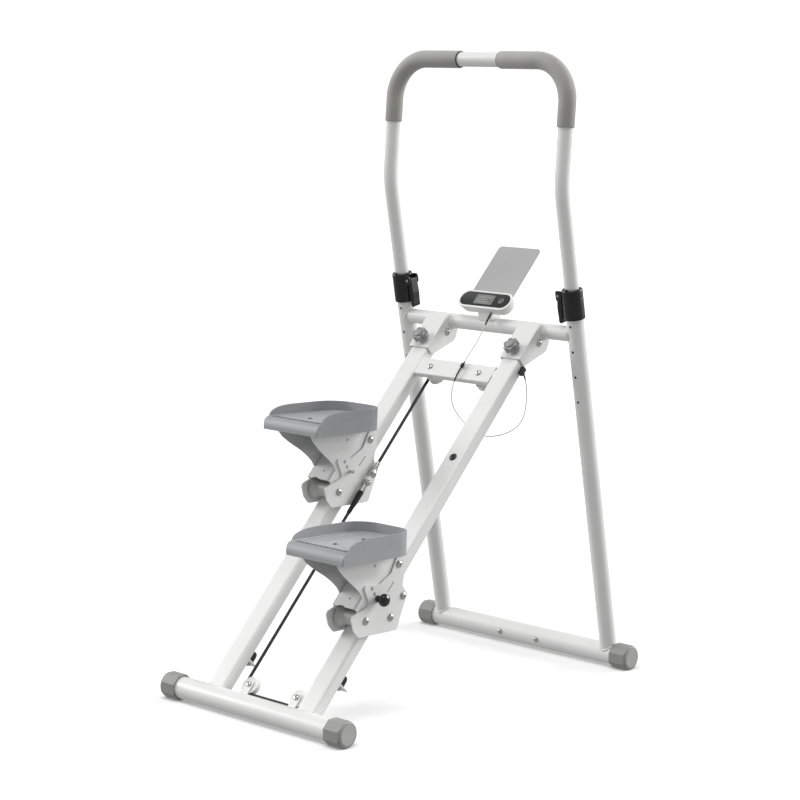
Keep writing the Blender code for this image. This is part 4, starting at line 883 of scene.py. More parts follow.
# ---------------------------------------------------------------- crossbar, brackets, hinge

BRACKET_OUTLINE = [
    (-0.068, BRACKET_PLATE_N + BRACKET_SHEET, 0.002), (-0.071, 0.006, 0.006), (-0.060, -0.002, 0.004),
    (0.003, -0.034, 0.014), (0.034, -0.022, 0.004), (0.034, BRACKET_PLATE_N + BRACKET_SHEET, 0.002),
]


def crossbar():
    half = LEG_X - LEG_RADIUS + 0.004
    piece("crossbar_tube", rod_mesh(CROSSBAR_RADIUS, -half, half, "X", (0, *CROSSBAR_DN), sides=96), RAIL,
          "upright_frame", PAINT, ["crossbar"])
    outer = BRACKET_INNER + BRACKET_SHEET
    outline = rounded_outline(BRACKET_OUTLINE, 6)
    sheet = BRACKET_SHEET
    for side, sign in SIDES:
        x = sign * RAIL_X
        body = side_plate(outline, x - outer, x + outer)
        inner = rounded_outline([
            (-0.30, BRACKET_PLATE_N, 0), (-0.30, -0.20, 0), (0.20, -0.20, 0), (0.20, BRACKET_PLATE_N, 0),
        ], 1)
        room = side_plate(inner, x - BRACKET_INNER, x + BRACKET_INNER)
        bar = rod_mesh(CROSSBAR_RADIUS - 0.001, x - 0.05, x + 0.05, "X", (0, *CROSSBAR_DN), sides=48)
        bolt_hole = rod_mesh(BOLT_HOLE, x - 0.05, x + 0.05, "X", sides=24)
        stud = rod_mesh(BOLT_HOLE, 0.015, 0.045, "Z", (x, KNOB_D, 0), sides=24)
        mesh = shaped(body, cut=[room, bar, bolt_hole, stud], bevel=0.0011, segments=3)
        boss = turned_mesh([(r, BRACKET_PLATE_N + sheet + h) for r, h in (
            (BOLT_HOLE, -0.001), (0.0100, -0.001), (0.0095, 0.0008), (0.0085, 0.0014), (0.0085, 0.0022),
            (0.0080, 0.0026), (BOLT_HOLE, 0.0026))], 48, "Z", (x, KNOB_D, 0))
        piece(f"bracket_{side}", merged([mesh, boss]), RAIL, "upright_frame", PAINT)
        beads = []
        for face in (-outer, outer):
            ring = [(x + face, CROSSBAR_DN[0] + (CROSSBAR_RADIUS + TOUCH) * cos(2 * pi * k / 60),
                     CROSSBAR_DN[1] + (CROSSBAR_RADIUS + TOUCH) * sin(2 * pi * k / 60))
                    for k in range(60)]
            ring = [p for p in ring if p[1] < 0.036 and p[2] < BRACKET_PLATE_N + sheet]
            split = next((k for k in range(len(ring)) if (Vector(ring[k]) - Vector(ring[k - 1])).length > 0.006), 0)
            ring = ring[split:] + ring[:split]
            beads.append(sweep_mesh(ring, bead_radii(len(ring), 0.0018), 12))
        piece(f"bracket_{side}_weld", merged(beads), RAIL, "upright_frame", WELD, flat=False)
        through_bolt(f"hinge_bolt_{side}_set", RAIL @ at((x, 0, 0)), outer + TOUCH, "rail_frame",
                     [f"hinge_bolt_{side}"])
        star_knob(side, x)
    for side, sign in SIDES:
        ring = []
        for k in range(60):
            a = 2 * pi * k / 60
            r = CROSSBAR_RADIUS + TOUCH
            lift = sqrt((LEG_RADIUS + TOUCH) ** 2 - (r * cos(a)) ** 2)
            ring.append((-sign * lift, r * cos(a), r * sin(a)))
        turn = at((sign * LEG_X, *CROSSBAR)) @ Matrix.Rotation(LEG_LEAN, 4, "X")
        piece(f"crossbar_weld_{side}", sweep_mesh(ring, bead_radii(60, 0.0018), 12, closed=True), turn,
              "upright_frame", WELD, flat=False)


def star_knob(side, x):
    lobes, steps = 6, 120
    outline = []
    for k in range(steps):
        a = 2 * pi * k / steps
        wave = abs(cos(lobes * a / 2)) ** 0.8
        radius = KNOB_RADIUS * (0.70 + 0.30 * wave)
        outline.append((radius * cos(a), radius * sin(a)))
    base = BRACKET_PLATE_N + 0.0058
    head = plate_mesh(outline, 0.015)
    head.transform(at((0, 0, base + 0.004 + 0.0075)))
    dish = ring_mesh(0.0122, 0.0098, base + 0.0182, base + 0.0195, sides=48)
    head = shaped(head, cut=[dish], bevel=0.0022, segments=4, angle=50)
    neck = turned_mesh([(0, base), (0.0080, base), (0.0088, base + 0.002), (0.0110, base + 0.0060),
                        (0, base + 0.0060)], 48)
    crown = turned_mesh([(0, base + 0.0150), (0.0096, base + 0.0150), (0.0096, base + 0.0198), (0.0090, base + 0.0212),
                         (0.0070, base + 0.0220), (0, base + 0.0223)], 48)
    spin = RAIL @ at((x, KNOB_D, 0))
    piece(f"fold_knob_{side}_star", merged([head, neck, crown]), spin, f"fold_knob_body_{side}", KNOB_GREY,
          [f"fold_knob_{side}"])
    stud = rod_mesh(BOLT_RADIUS, RAIL_TOP_N + TOUCH, base + 0.002, sides=24)
    piece(f"fold_knob_{side}_stud", stud, spin, f"fold_knob_body_{side}", ZINC)


# ---------------------------------------------------------------- rails and what they carry

def rounded_rectangle(width, height, corner, steps=8):
    half_w, half_h = width / 2, height / 2
    corners = [(half_w, half_h), (-half_w, half_h), (-half_w, -half_h), (half_w, -half_h)]
    return rounded_outline([(u, v, corner) for u, v in corners], steps)


def rails():
    start, end = REAR_BAR[0] + 0.004, 0.020
    keep = [(-0.004, RAIL_TOP_N), (0.006, 0.0215), (0.0115, 0.0150), (0.0138, 0.006), (0.0132, -0.003),
            (0.0105, -0.010)]
    top_cut = keep + [(0.0105, -0.03), (0.06, -0.03), (0.06, 0.05), (-0.004, 0.05)]
    for side, sign in SIDES:
        x = sign * RAIL_X
        outer = rounded_rectangle(RAIL_WIDTH, RAIL_DEPTH, 0.007)
        inner = rounded_rectangle(RAIL_WIDTH - 2 * RAIL_WALL, RAIL_DEPTH - 2 * RAIL_WALL, 0.0052)
        mesh = plate_mesh(outer, end - start, [inner])
        mesh.transform(at((x, (start + end) / 2, RAIL_N)) @ Matrix.Rotation(pi / 2, 4, "X"))
        saddle = rod_mesh(BAR_RADIUS - 0.0008, x - 0.05, x + 0.05, "X", (0, *REAR_BAR), sides=64)
        bolt_hole = rod_mesh(BOLT_HOLE, x - 0.05, x + 0.05, "X", sides=24)
        cuts = [saddle, side_plate(top_cut, x - 0.05, x + 0.05), bolt_hole]
        if side == "right":
            cuts.append(rod_mesh(0.0075, 0.015, 0.030, "Z", (x, PLUG_D, 0), sides=32))
        piece(f"rail_{side}_tube", shaped(mesh, cut=cuts), RAIL, "rail_frame", PAINT,
              [f"rail_{side}"])
        stop = shaped(box_mesh((x - 0.016, -0.9005, -0.0400), (x + 0.016, -0.8975, RAIL_UNDER_N + 0.0009)),
                      union=[box_mesh((x - 0.016, -0.9275, RAIL_UNDER_N - 0.0025),
                                      (x + 0.016, -0.8990, RAIL_UNDER_N + 0.0006))],
                      bevel=0.0010, segments=3)
        piece(f"stop_bracket_{side}", stop, RAIL, "rail_frame", PAINT)
        profile = [(0, -0.8973), (0.0090, -0.8973), (0.0096, -0.8960), (0.0096, -0.8935), (0.0086, -0.8925),
                   (0.0086, -0.8820), (0.0078, -0.8770), (0.0060, -0.8738), (0.0035, -0.8722), (0, -0.8718)]
        piece(f"bump_stop_{side}_cone", turned_mesh(profile[::-1], 48, "Y", (x, 0, -0.0275)), RAIL, "rail_frame",
              RUBBER, [f"bump_stop_{side}"])
        nut_turn = at((x, -0.9005, -0.0275)) @ Matrix.Rotation(pi / 2, 4, "X")
        piece(f"bump_stop_{side}_nut", moved(nut(0.0100, 0.0040, 0.0012), nut_turn), RAIL, "rail_frame", ZINC)
        around = rounded_rectangle(RAIL_WIDTH + 0.0004, RAIL_DEPTH + 0.0004, 0.0072, 6)
        dense = []
        for k, here in enumerate(around):
            after = around[(k + 1) % len(around)]
            steps = max(1, round((Vector(after) - Vector(here)).length / 0.0022))
            dense += [Vector(here).lerp(Vector(after), i / steps) for i in range(steps)]
        ring = []
        for u, v in dense:
            n = RAIL_N + v
            reach = (BAR_RADIUS + 0.0003) ** 2 - (n - REAR_BAR[1]) ** 2
            ring.append((x + u, REAR_BAR[0] + sqrt(max(0.0, reach)), n))
        piece(f"rail_{side}_weld", sweep_mesh(ring, bead_radii(len(ring), 0.0021), 12, closed=True), RAIL,
              "rail_frame", WELD, flat=False)
    plug = turned_mesh([(0, 0.0200), (0.0074, 0.0200), (0.0074, RAIL_TOP_N), (0.0090, RAIL_TOP_N + 0.0001),
                        (0.0090, RAIL_TOP_N + 0.0008), (0.0078, RAIL_TOP_N + 0.0020), (0.0050, RAIL_TOP_N + 0.0026),
                        (0, RAIL_TOP_N + 0.0027)], 48)
    piece("rail_plug", plug, RAIL @ at((RAIL_X, PLUG_D, 0)), "rail_frame", BLACK)


def cross_plate():
    half = RAIL_X - RAIL_WIDTH / 2 - 0.0002
    low, high, top, sheet = -0.1377, -0.0925, RAIL_TOP_N, 0.0025
    outer = rounded_outline([(low, top - 0.014, 0), (low, top, 0.0035), (high, top, 0.0035), (high, top - 0.014, 0),
                             (high - sheet, top - 0.014, 0), (high - sheet, top - sheet, 0.0010),
                             (low + sheet, top - sheet, 0.0010), (low + sheet, top - 0.014, 0)], 8)
    channel = side_plate(outer, -half, half)
    piece("cross_plate_channel", shaped(channel, bevel=0.0006), RAIL, "rail_frame", PAINT,
          ["cross_plate"])
    beads = []
    for side, sign in SIDES:
        line = [(sign * half, low + 0.003 + (high - low - 0.006) * k / 20, top - 0.0006) for k in range(21)]
        beads.append(sweep_mesh(line, bead_radii(21, 0.0014), 12))
    piece("cross_plate_welds", merged(beads), RAIL, "rail_frame", WELD, flat=False)
    for side, sign in SIDES:
        x = sign * PULLEY_X
        parts = [moved(button_head(0.0056, 0.0040, 0.0035), at((x, UPPER_PULLEY_D, top))),
                 ring_mesh(0.0075, BOLT_RADIUS, PULLEY_TAB_N, top - sheet, "Z", (x, UPPER_PULLEY_D, 0), 40),
                 rod_mesh(BOLT_RADIUS, ROPE_N - PULLEY_HALF - 0.003, top - 0.001, "Z", (x, UPPER_PULLEY_D, 0), 0, 24),
                 moved(nut(0.0095, 0.0030, 0.0008), at((x, UPPER_PULLEY_D, ROPE_N - PULLEY_HALF - 0.0004))
                       @ Matrix.Rotation(pi, 4, "X"))]
        piece(f"upper_pulley_bolt_{side}", merged(parts), RAIL, "rail_frame", ZINC)
        tab_top = PULLEY_TAB_N + BRACKET_SHEET
        parts = [moved(button_head(0.0058, 0.0040, 0.0036), at((x, LOWER_PULLEY_D, tab_top))),
                 rod_mesh(BOLT_RADIUS, ROPE_N - PULLEY_HALF - 0.001, tab_top, "Z", (x, LOWER_PULLEY_D, 0), 0, 24),
                 moved(nut(0.0100, 0.0034, 0.0010), at((x, LOWER_PULLEY_D, ROPE_N - PULLEY_HALF - 0.0004))
                       @ Matrix.Rotation(pi, 4, "X"))]
        piece(f"lower_pulley_bolt_{side}", merged(parts), RAIL, "rail_frame", ZINC)


def pulleys():
    half = PULLEY_HALF
    for level, d in (("upper", UPPER_PULLEY_D), ("lower", LOWER_PULLEY_D)):
        for side, sign in SIDES:
            trough = [(PULLEY_TURN - 0.0004 - sqrt(max(0.0, 0.0036 ** 2 - z * z)) * 0.94, z)
                      for z in (-0.0034, -0.0026, -0.0014, 0.0, 0.0014, 0.0026, 0.0034)]
            profile = [(0.0043, -half), (0.0085, -half), (0.0090, -half + 0.0008), (0.0165, -half + 0.0008),
                       (0.0172, -half), (PULLEY_RIM - 0.0004, -half), (PULLEY_RIM, -half + 0.0004),
                       (PULLEY_RIM, -half + 0.0010), (PULLEY_RIM - 0.0006, -half + 0.0015), *trough,
                       (PULLEY_RIM - 0.0006, half - 0.0015), (PULLEY_RIM, half - 0.0010), (PULLEY_RIM, half - 0.0004),
                       (PULLEY_RIM - 0.0004, half), (0.0172, half), (0.0165, half - 0.0008), (0.0090, half - 0.0008),
                       (0.0085, half), (0.0043, half)]
            name = f"{level}_pulley_{side}"
            piece(f"{name}_wheel", turned_mesh(profile, 72), RAIL @ at((sign * PULLEY_X, d, ROPE_N)),
                  f"{level}_pulley_body_{side}", SHELL, [name])


# ---------------------------------------------------------------- rope

SLEEVE_END = -0.166
FERRULE_TOP = -0.026


def rope():
    for name, d, direction in (("upper", UPPER_PULLEY_D, 1), ("lower", LOWER_PULLEY_D, -1)):
        lead = d - direction * 0.007
        left = [(-ROPE_X, lead, ROPE_N)]
        left += [(u, v, ROPE_N) for u, v in arc((-PULLEY_X, d), PULLEY_TURN, 180, 180 - direction * 90, 20)]
        path = left + [(-u, v, n) for u, v, n in left[::-1]]
        piece(f"rope_{name}_bend", sweep_mesh(path, ROPE_RADIUS, 24), RAIL, "rail_frame", ROPE,
              [f"rope_{name}_turn"], flat=False)
    for side, sign in SIDES:
        x, pivot = sign * ROPE_X, PIVOT_D[side]
        for name, low, high, fixed in (
            ("upper", pivot + FERRULE_TOP - 0.012, UPPER_PULLEY_D - 0.0072, "high"),
            ("lower", LOWER_PULLEY_D + 0.0072, pivot + SLEEVE_END + 0.012, "low"),
        ):
            points = [(x, low + (high - low) * k / 40, ROPE_N) for k in range(41)]
            run = piece(f"rope_{name}_run_{side}", sweep_mesh(points, ROPE_RADIUS, 24), RAIL, None, ROPE,
                        flat=False)
            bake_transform(run)
            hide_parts(f"rope_{name}_{side}")


# ---------------------------------------------------------------- carriages

PLATE_OUTLINE = [
    (0.027, 0.030, 0.008), (0.016, 0.057, 0.014), (-0.028, 0.046, 0.012), (-0.066, 0.060, 0.020),
    (-0.0960, 0.0960, 0.005), (-0.114, 0.053, 0.008), (-0.150, 0.073, 0.010), (-0.166, 0.081, 0.008),
    (-0.181, 0.056, 0.012), (-0.183, 0.033, 0.008), (-0.119, -0.038, 0.005), (-0.105, -0.052, 0.006),
    (-0.031, -0.026, 0.006), (-0.027, -0.001, 0.008),
]


def pin_place(angle):
    turn = radians(angle)
    return PIN_REACH * cos(turn), PIVOT_N + PIN_REACH * sin(turn)


def roller_profile(bore):
    """Half of a waisted roller, from the middle of its tread out to its rim."""
    steps = 10
    points = []
    for k in range(steps + 1):
        t = k / steps
        points.append((0.0162 + 0.0068 * smoothstep(t) ** 1.4, 0.0120 + 0.0130 * t))
    points += [(0.0240, 0.0254), (0.0254, 0.0259), (0.0263, 0.0267), (0.0265, 0.0275), (0.0262, 0.0283),
               (0.0254, 0.0289), (0.0244, 0.0290), (0.0200, 0.0290), (0.0190, 0.0280), (0.0100, 0.0280),
               (0.0095, 0.0290), (bore, 0.0290)]
    return [(r, -z) for r, z in points[::-1]] + points


def carriages():
    for side, sign in SIDES:
        place = CARRIAGE[side]
        body = f"carriage_{side}"
        outline = rounded_outline(PLATE_OUTLINE, 8)
        holes = [circle((0, PIVOT_N), BOLT_HOLE), circle((ROLLER_D, PIVOT_N), BOLT_HOLE)]
        holes += [circle((d, UNDER_N), BOLT_HOLE) for d in UNDER_ROLLERS_D]
        holes += [circle(pin_place(angle), PIN_RADIUS + TOUCH) for angle in PIN_ANGLES]
        holes.append(slot_outline((-0.064, 0.0285), (-0.038, 0.0270), 0.0013))
        plates = []
        for face in (-1, 1):
            low, high = sorted((face * PLATE_INNER, face * PLATE_OUTER))
            plates.append(shaped(side_plate(outline, low, high, holes), bevel=0.0005, segments=2))
        spacer = rod_mesh(0.0055, -PLATE_INNER - 0.0005, PLATE_INNER + 0.0005, "X", (0, -0.1105, -0.0285), sides=32)
        piece(f"carriage_{side}_plates", merged([*plates, spacer]), place, body, PAINT,
              [f"carriage_frame_{side}"])
        rope_fixings(side, sign, place, body)

        piece(f"upper_roller_{side}_spool", turned_mesh(roller_profile(BOLT_HOLE), 72, "X"),
              place @ at((0, 0, PIVOT_N)), f"upper_roller_body_{side}", NYLON,
              [f"upper_roller_{side}"])
        through_bolt(f"pedal_bolt_{side}_set", place @ at((0, 0, PIVOT_N)), PLATE_OUTER + TOUCH,
                     body, [f"pedal_bolt_{side}"])
        centre = place @ at((0, ROLLER_D, PIVOT_N))
        piece(f"lower_roller_{side}_spool", turned_mesh(roller_profile(BOLT_HOLE), 72, "X"), centre,
              f"lower_roller_body_{side}", NYLON, [f"lower_roller_{side}"])
        through_bolt(f"lower_roller_{side}_bolt", centre, PLATE_OUTER + TOUCH, f"lower_roller_body_{side}")
        for k, d in enumerate(UNDER_ROLLERS_D):
            letter = "ab"[k]
            centre = place @ at((0, d, UNDER_N))
            half = 0.0240
            profile = [(0.0043, -half), (0.0090, -half), (0.0102, -half + 0.0004), (0.0110, -half + 0.0016),
                       (0.0110, -0.0030), (0.0106, -0.0024), (0.0106, 0.0024), (0.0110, 0.0030),
                       (0.0110, half - 0.0016), (0.0102, half - 0.0004), (0.0090, half), (0.0043, half)]
            piece(f"under_roller_{letter}_{side}_wheel", turned_mesh(profile, 56, "X"), centre,
                  f"under_roller_{letter}_body_{side}", NYLON, [f"under_roller_{letter}_{side}"])
            through_bolt(f"under_roller_{letter}_{side}_bolt", centre, PLATE_OUTER + TOUCH,
                         f"under_roller_{letter}_body_{side}")
        pull_pin(side, sign, place)


def rope_fixings(side, sign, place, body):
    """Two lugs with a bolt head and a nut, two ferrules and the black sleeve, which hold the rope's two ends."""
    inner = -sign
    reach = RAIL_X - ROPE_X
    x = inner * reach
    zinc = []
    for d in LUG_D:
        low, high = sorted((inner * (PLATE_OUTER - 0.0005), inner * (reach + 0.0035)))
        zinc.append(box_mesh((low, d - 0.0062, ROPE_N - 0.0050), (high, d + 0.0062, ROPE_N + 0.0050), 0.0012, 3))
    zinc.append(moved(button_head(0.0085, 0.0055, 0.0050), facing(inner, (inner * (reach + 0.0035), LUG_D[0], ROPE_N))))
    zinc.append(moved(nut(0.0110, 0.0045, 0.0010), facing(inner, (inner * (reach + 0.0035), LUG_D[1], ROPE_N))))
    along = [(0.0040, LUG_D[0] + 0.004), (0.0048, LUG_D[0] + 0.006), (0.0048, LUG_D[0] + 0.011),
             (0.0043, LUG_D[0] + 0.012), (0.0050, LUG_D[0] + 0.013), (0.0050, FERRULE_TOP - 0.004), (0.0043,
                                                                                                     FERRULE_TOP)]
    zinc.append(turned_mesh([(0, along[0][1]), *along, (0, along[-1][1])], 32, "Y", (x, 0, ROPE_N)))
    low, high = LUG_D[1] - 0.034, LUG_D[1] - 0.004
    zinc.append(turned_mesh([(0, low), (0.0045, low), (0.0050, low + 0.001), (0.0050, high - 0.001), (0.0042, high),
                             (0, high)], 32, "Y", (x, 0, ROPE_N)))
    piece(f"rope_fixing_{side}", merged(zinc), place, body, ZINC)
    sleeve = [(0, SLEEVE_END), (0.0042, SLEEVE_END), (0.0046, SLEEVE_END + 0.001), (0.0052, SLEEVE_END + 0.020),
              (0.0053, SLEEVE_END + 0.0205), (0.0060, SLEEVE_END + 0.0215), (0.0066, LUG_D[1] - 0.026),
              (0.0060, LUG_D[1] - 0.0245), (0, LUG_D[1] - 0.0245)]
    piece(f"rope_sleeve_{side}", turned_mesh(sleeve, 40, "Y", (x, 0, ROPE_N)), place, body, RUBBER)


def pull_pin(side, sign, place):
    d, n = pin_place(PIN_ANGLES[0])
    slide = place @ at((0, d, n)) @ Matrix.Scale(sign, 4, (1, 0, 0))
    start = PLATE_OUTER + TOUCH
    knob = [(0, start), (0.0072, start), (0.0076, start + 0.0006), (0.0076, start + 0.0050), (0.0070, start + 0.0062),
            (0.0056, start + 0.0072), (0.0056, start + 0.0090), (0.0080, start + 0.0112), (0.0120, start + 0.0136),
            (0.0136, start + 0.0160), (0.0140, start + 0.0185), (0.0137, start + 0.0212), (0.0124, start + 0.0242),
            (0.0098, start + 0.0264), (0.0060, start + 0.0277), (0.0025, start + 0.0280), (0, start + 0.0280)]
    piece(f"pull_pin_{side}_knob", turned_mesh(knob, 56, "X"), slide, f"pull_pin_body_{side}", KNOB_BLACK,
          [f"pull_pin_{side}"])
    shaft = [(0, -0.0500), (0.0026, -0.0500), (0.0040, -0.0480), (0.0040, -0.0440), (0.0034, -0.0435),
             (0.0034, -0.0425), (0.0040, -0.0420), (0.0040, start), (0, start)]
    piece(f"pull_pin_{side}_shaft", turned_mesh(shaft, 32, "X"), slide, f"pull_pin_body_{side}", ZINC)


# ---------------------------------------------------------------- pedals

TRAY = {side: PEDAL[side] @ Matrix.Rotation(-TRAY_PITCH, 4, "X") for side, sign in SIDES}


def tray_outline(inset=0.0, heel_inset=None, steps=16):
    half = TRAY_HALF_WIDTH - inset
    heel = TRAY_HEEL + (inset if heel_inset is None else heel_inset)
    return rounded_outline([
        (-half, heel, 0.004), (half, heel, 0.004),
        (half, TRAY_TOE - inset, TRAY_CORNER - inset), (-half, TRAY_TOE - inset, TRAY_CORNER - inset),
    ], steps)


def heel_cut():
    """What the heel leaves open: a rolled lip below, then the rim's quarter ellipse up to its top."""
    low = TRAY_FLOOR + 0.0004
    lip = [(TRAY_HEEL - 0.0004 + 0.0150 * (1 - cos(a)), LIP_LOW + (low - LIP_LOW) * sin(a))
           for a in (pi / 2 * k / 10 for k in range(11))]
    rim = [(TRAY_HEEL + 0.0175 + 0.058 * (1 - cos(a)), low + 0.002 + (TRAY_TOP - 0.0006 - low - 0.002) * sin(a))
           for a in (pi / 2 * k / 18 for k in range(19))]
    outline = [(TRAY_HEEL - 0.02, TRAY_TOP + 0.02), (TRAY_HEEL - 0.02, LIP_LOW), *lip, *rim,
               (TRAY_HEEL + 0.110, TRAY_TOP + 0.02)]
    return side_plate(outline[::-1], -0.1, 0.1)


def pedal_tray(side):
    mesh = plate_mesh(tray_outline(), TRAY_TOP - TRAY_BOTTOM)
    mesh.transform(at((0, 0, (TRAY_TOP + TRAY_BOTTOM) / 2)))
    hollow = plate_mesh(tray_outline(TRAY_WALL), 0.06)
    hollow.transform(at((0, 0, TRAY_FLOOR + 0.03)))
    hollow = shaped(hollow, bevel=0.0028, segments=4, angle=60)
    under = []
    for heel_inset, top in ((0.0030, 0.0305), (0.0078, 0.0410), (0.0125, TRAY_FLOOR - 0.003)):
        room = plate_mesh(tray_outline(TRAY_WALL, heel_inset), 0.04)
        room.transform(at((0, 0, top - 0.02)))
        under.append(room)
    shell = shaped(mesh, cut=[hollow, *under, heel_cut()], bevel=0.0008, segments=3, angle=40)
    piece(f"pedal_tray_{side}_shell", shell, TRAY[side], f"pedal_{side}", TRAY_GREY,
          [f"pedal_tray_{side}"])
    # The finer studs carry a painted highlight and the heel studs painted shade.
    for name, heel, grey in (("studs", False, TREAD_STUD_PAINTED_HIGHLIGHT), ("heel_studs", True, HEEL_STUD_PAINTED_SHADE)):
        piece(f"pedal_tray_{side}_{name}", tray_studs(heel), TRAY[side], f"pedal_{side}", grey,
              flat=False, sharp=60)
    screws = [moved(button_head(0.0036, 0.0026, 0.0022), at((x, y, TRAY_FLOOR)))
              for x, y in ((0.0, -0.155), (0.0, -0.070))]
    piece(f"pedal_tray_{side}_screws", merged(screws), TRAY[side], f"pedal_{side}", DARK_STEEL)


# The first rows at the heel take the near-black painted shade.
HEEL_ROWS = 2


def tray_studs(heel):
    """The tread's studs: the rows of large ones at the heel, or the finer ones over the rest of the floor."""
    studs = bmesh.new()
    sides = 8
    y = TRAY_HEEL + 0.0205
    row = 0
    while y < TRAY_TOE - 0.006:
        coarse = row < HEEL_ROWS
        pitch = 0.0068 if coarse else 0.0062
        radius = 0.0019 if coarse else 0.0012
        height = 0.0012 if coarse else 0.0009
        count = round((2 * TRAY_HALF_WIDTH - 0.016) / pitch) - row % 2
        toe = y - (TRAY_TOE - TRAY_CORNER)
        limit = TRAY_HALF_WIDTH - 0.0065
        if toe > 0:
            limit = TRAY_HALF_WIDTH - TRAY_CORNER + sqrt(max(0.0, (TRAY_CORNER - 0.007) ** 2 - toe ** 2))
        for k in range(count):
            x = (k - (count - 1) / 2) * pitch
            if coarse != heel or abs(x) > limit:
                continue
            turns = [2 * pi * i / sides for i in range(sides)]
            base = [studs.verts.new((x + radius * cos(a), y + radius * sin(a), TRAY_FLOOR - 0.0003)) for a in turns]
            top = [studs.verts.new((x + radius * 0.75 * cos(a), y + radius * 0.75 * sin(a), TRAY_FLOOR + height))
                   for a in turns]
            for i in range(sides):
                j = (i + 1) % sides
                studs.faces.new((base[i], base[j], top[j], top[i]))
            studs.faces.new(top)
            studs.faces.new(base[::-1])
        y += pitch * 0.9
        row += 1
    return mesh_from_bmesh(studs)


SUPPORT_ROWS = (
    # height, front edge and rear edge, all from the pivot
    (0.0501, -0.2020, -0.0010), (0.0380, -0.2035, -0.0010), (0.0266, -0.2035, -0.0010), (0.0256, -0.2030, 0.0120),
    (0.0140, -0.1915, 0.0165), (0.0000, -0.1690, 0.0155), (-0.0146, -0.1480, 0.0090), (-0.0300, -0.1285, -0.0400),
    (-0.0430, -0.1145, -0.0540), (-0.0560, -0.1060, -0.0655), (-0.0680, -0.1170, -0.0780), (-0.0780, -0.1265, -0.0880),
)
FLARE = 0.0165


def support_half_width(y, z):
    plate_top = -0.024 + 0.044 * smoothstep((y + 0.055) / 0.055)
    rise = smoothstep((z - plate_top) / (0.0266 - plate_top))
    return FLANGE_INNER + FLANGE_SHEET / 2 + FLARE * rise * smoothstep((-0.020 - y) / 0.060)


def support_point(x, y, z):
    """The sheet's upper part takes the tray's pitch."""
    turn = -TRAY_PITCH * smoothstep((z + 0.005) / 0.030)
    return x, y * cos(turn) - z * sin(turn), y * sin(turn) + z * cos(turn)


def fine_rows(step=0.0030):
    """The support's rows with closer ones between them."""
    rows = []
    for low, high in zip(SUPPORT_ROWS, SUPPORT_ROWS[1:]):
        count = max(1, round(abs(high[0] - low[0]) / step))
        rows += [tuple(a + (b - a) * k / count for a, b in zip(low, high)) for k in range(count)]
    return rows + [SUPPORT_ROWS[-1]]


def flange_mesh(sign):
    """One flange as a closed sheet: two layers of points, joined round their border."""
    across = 40
    bm = bmesh.new()
    layers = []
    for offset in (-FLANGE_SHEET / 2, FLANGE_SHEET / 2):
        layer = []
        for z, front, rear in fine_rows():
            ys = [rear + (front - rear) * k / across for k in range(across + 1)]
            layer.append([bm.verts.new(support_point(sign * (support_half_width(y, z) + offset), y, z)) for y in ys])
        layers.append(layer)
    for layer in layers:
        for upper, lower in zip(layer, layer[1:]):
            for k in range(across):
                bm.faces.new((upper[k], lower[k], lower[k + 1], upper[k + 1]))
    borders = []
    for layer in layers:
        borders.append(layer[0] + [row[-1] for row in layer[1:]] + layer[-1][-2::-1]
                       + [row[0] for row in layer[-2:0:-1]])
    count = len(borders[0])
    for k in range(count):
        j = (k + 1) % count
        bm.faces.new((borders[0][k], borders[0][j], borders[1][j], borders[1][k]))
    return mesh_from_bmesh(bm)


def pedal_support(side):
    """The bent sheet under the tray: two flanges, and a web between them that lies parallel to the rail."""
    half = FLANGE_INNER + FLANGE_SHEET * 0.6
    web = rounded_outline([(-half, 0.018, 0), (-half, 0, 0.0075), (half, 0, 0.0075), (half, 0.018, 0),
                           (half - FLANGE_SHEET, 0.018, 0), (half - FLANGE_SHEET, FLANGE_SHEET, 0.0054),
                           (FLANGE_SHEET - half, FLANGE_SHEET, 0.0054), (FLANGE_SHEET - half, 0.018, 0)], 8)
    web = plate_mesh([(x, -v) for x, v in web][::-1], WEB_D[1] - WEB_D[0])
    web.transform(Matrix.Rotation(RAIL_ANGLE, 4, "X")
                  @ at((0, (WEB_D[0] + WEB_D[1]) / 2, WEB_N + FLANGE_SHEET - PIVOT_N))
                  @ Matrix.Rotation(pi / 2, 4, "X"))
    mouth = rod_mesh(0.0200, -0.05, 0.05, "Z", (-0.008, WEB_D[0] - 0.0165, WEB_N - PIVOT_N), sides=64)
    screw = rod_mesh(0.0023, -0.02, 0.02, "Z", (0.004, WEB_D[0] + 0.022, WEB_N - PIVOT_N), sides=24)
    for tool in (mouth, screw):
        tool.transform(Matrix.Rotation(RAIL_ANGLE, 4, "X"))
    cuts = [rod_mesh(BOLT_HOLE, -0.08, 0.08, "X", sides=24),
            rod_mesh(0.0027, -0.08, 0.08, "X", (0, -0.082, 0.010), sides=24), mouth, screw]
    sheet = shaped(flange_mesh(-1), union=[flange_mesh(1), web], cut=cuts, bevel=0.0005, segments=2, angle=40)
    piece(f"pedal_support_{side}_sheet", sheet, PEDAL[side], f"pedal_{side}", PAINT,
          [f"pedal_support_{side}"])


# ---------------------------------------------------------------- console

def stadium(half_length, half_width, steps=16):
    r = half_width
    return rounded_outline([(half_length, r, r * 0.985), (-half_length, r, r * 0.985), (-half_length, -r, r * 0.985),
                            (half_length, -r, r * 0.985)], steps)


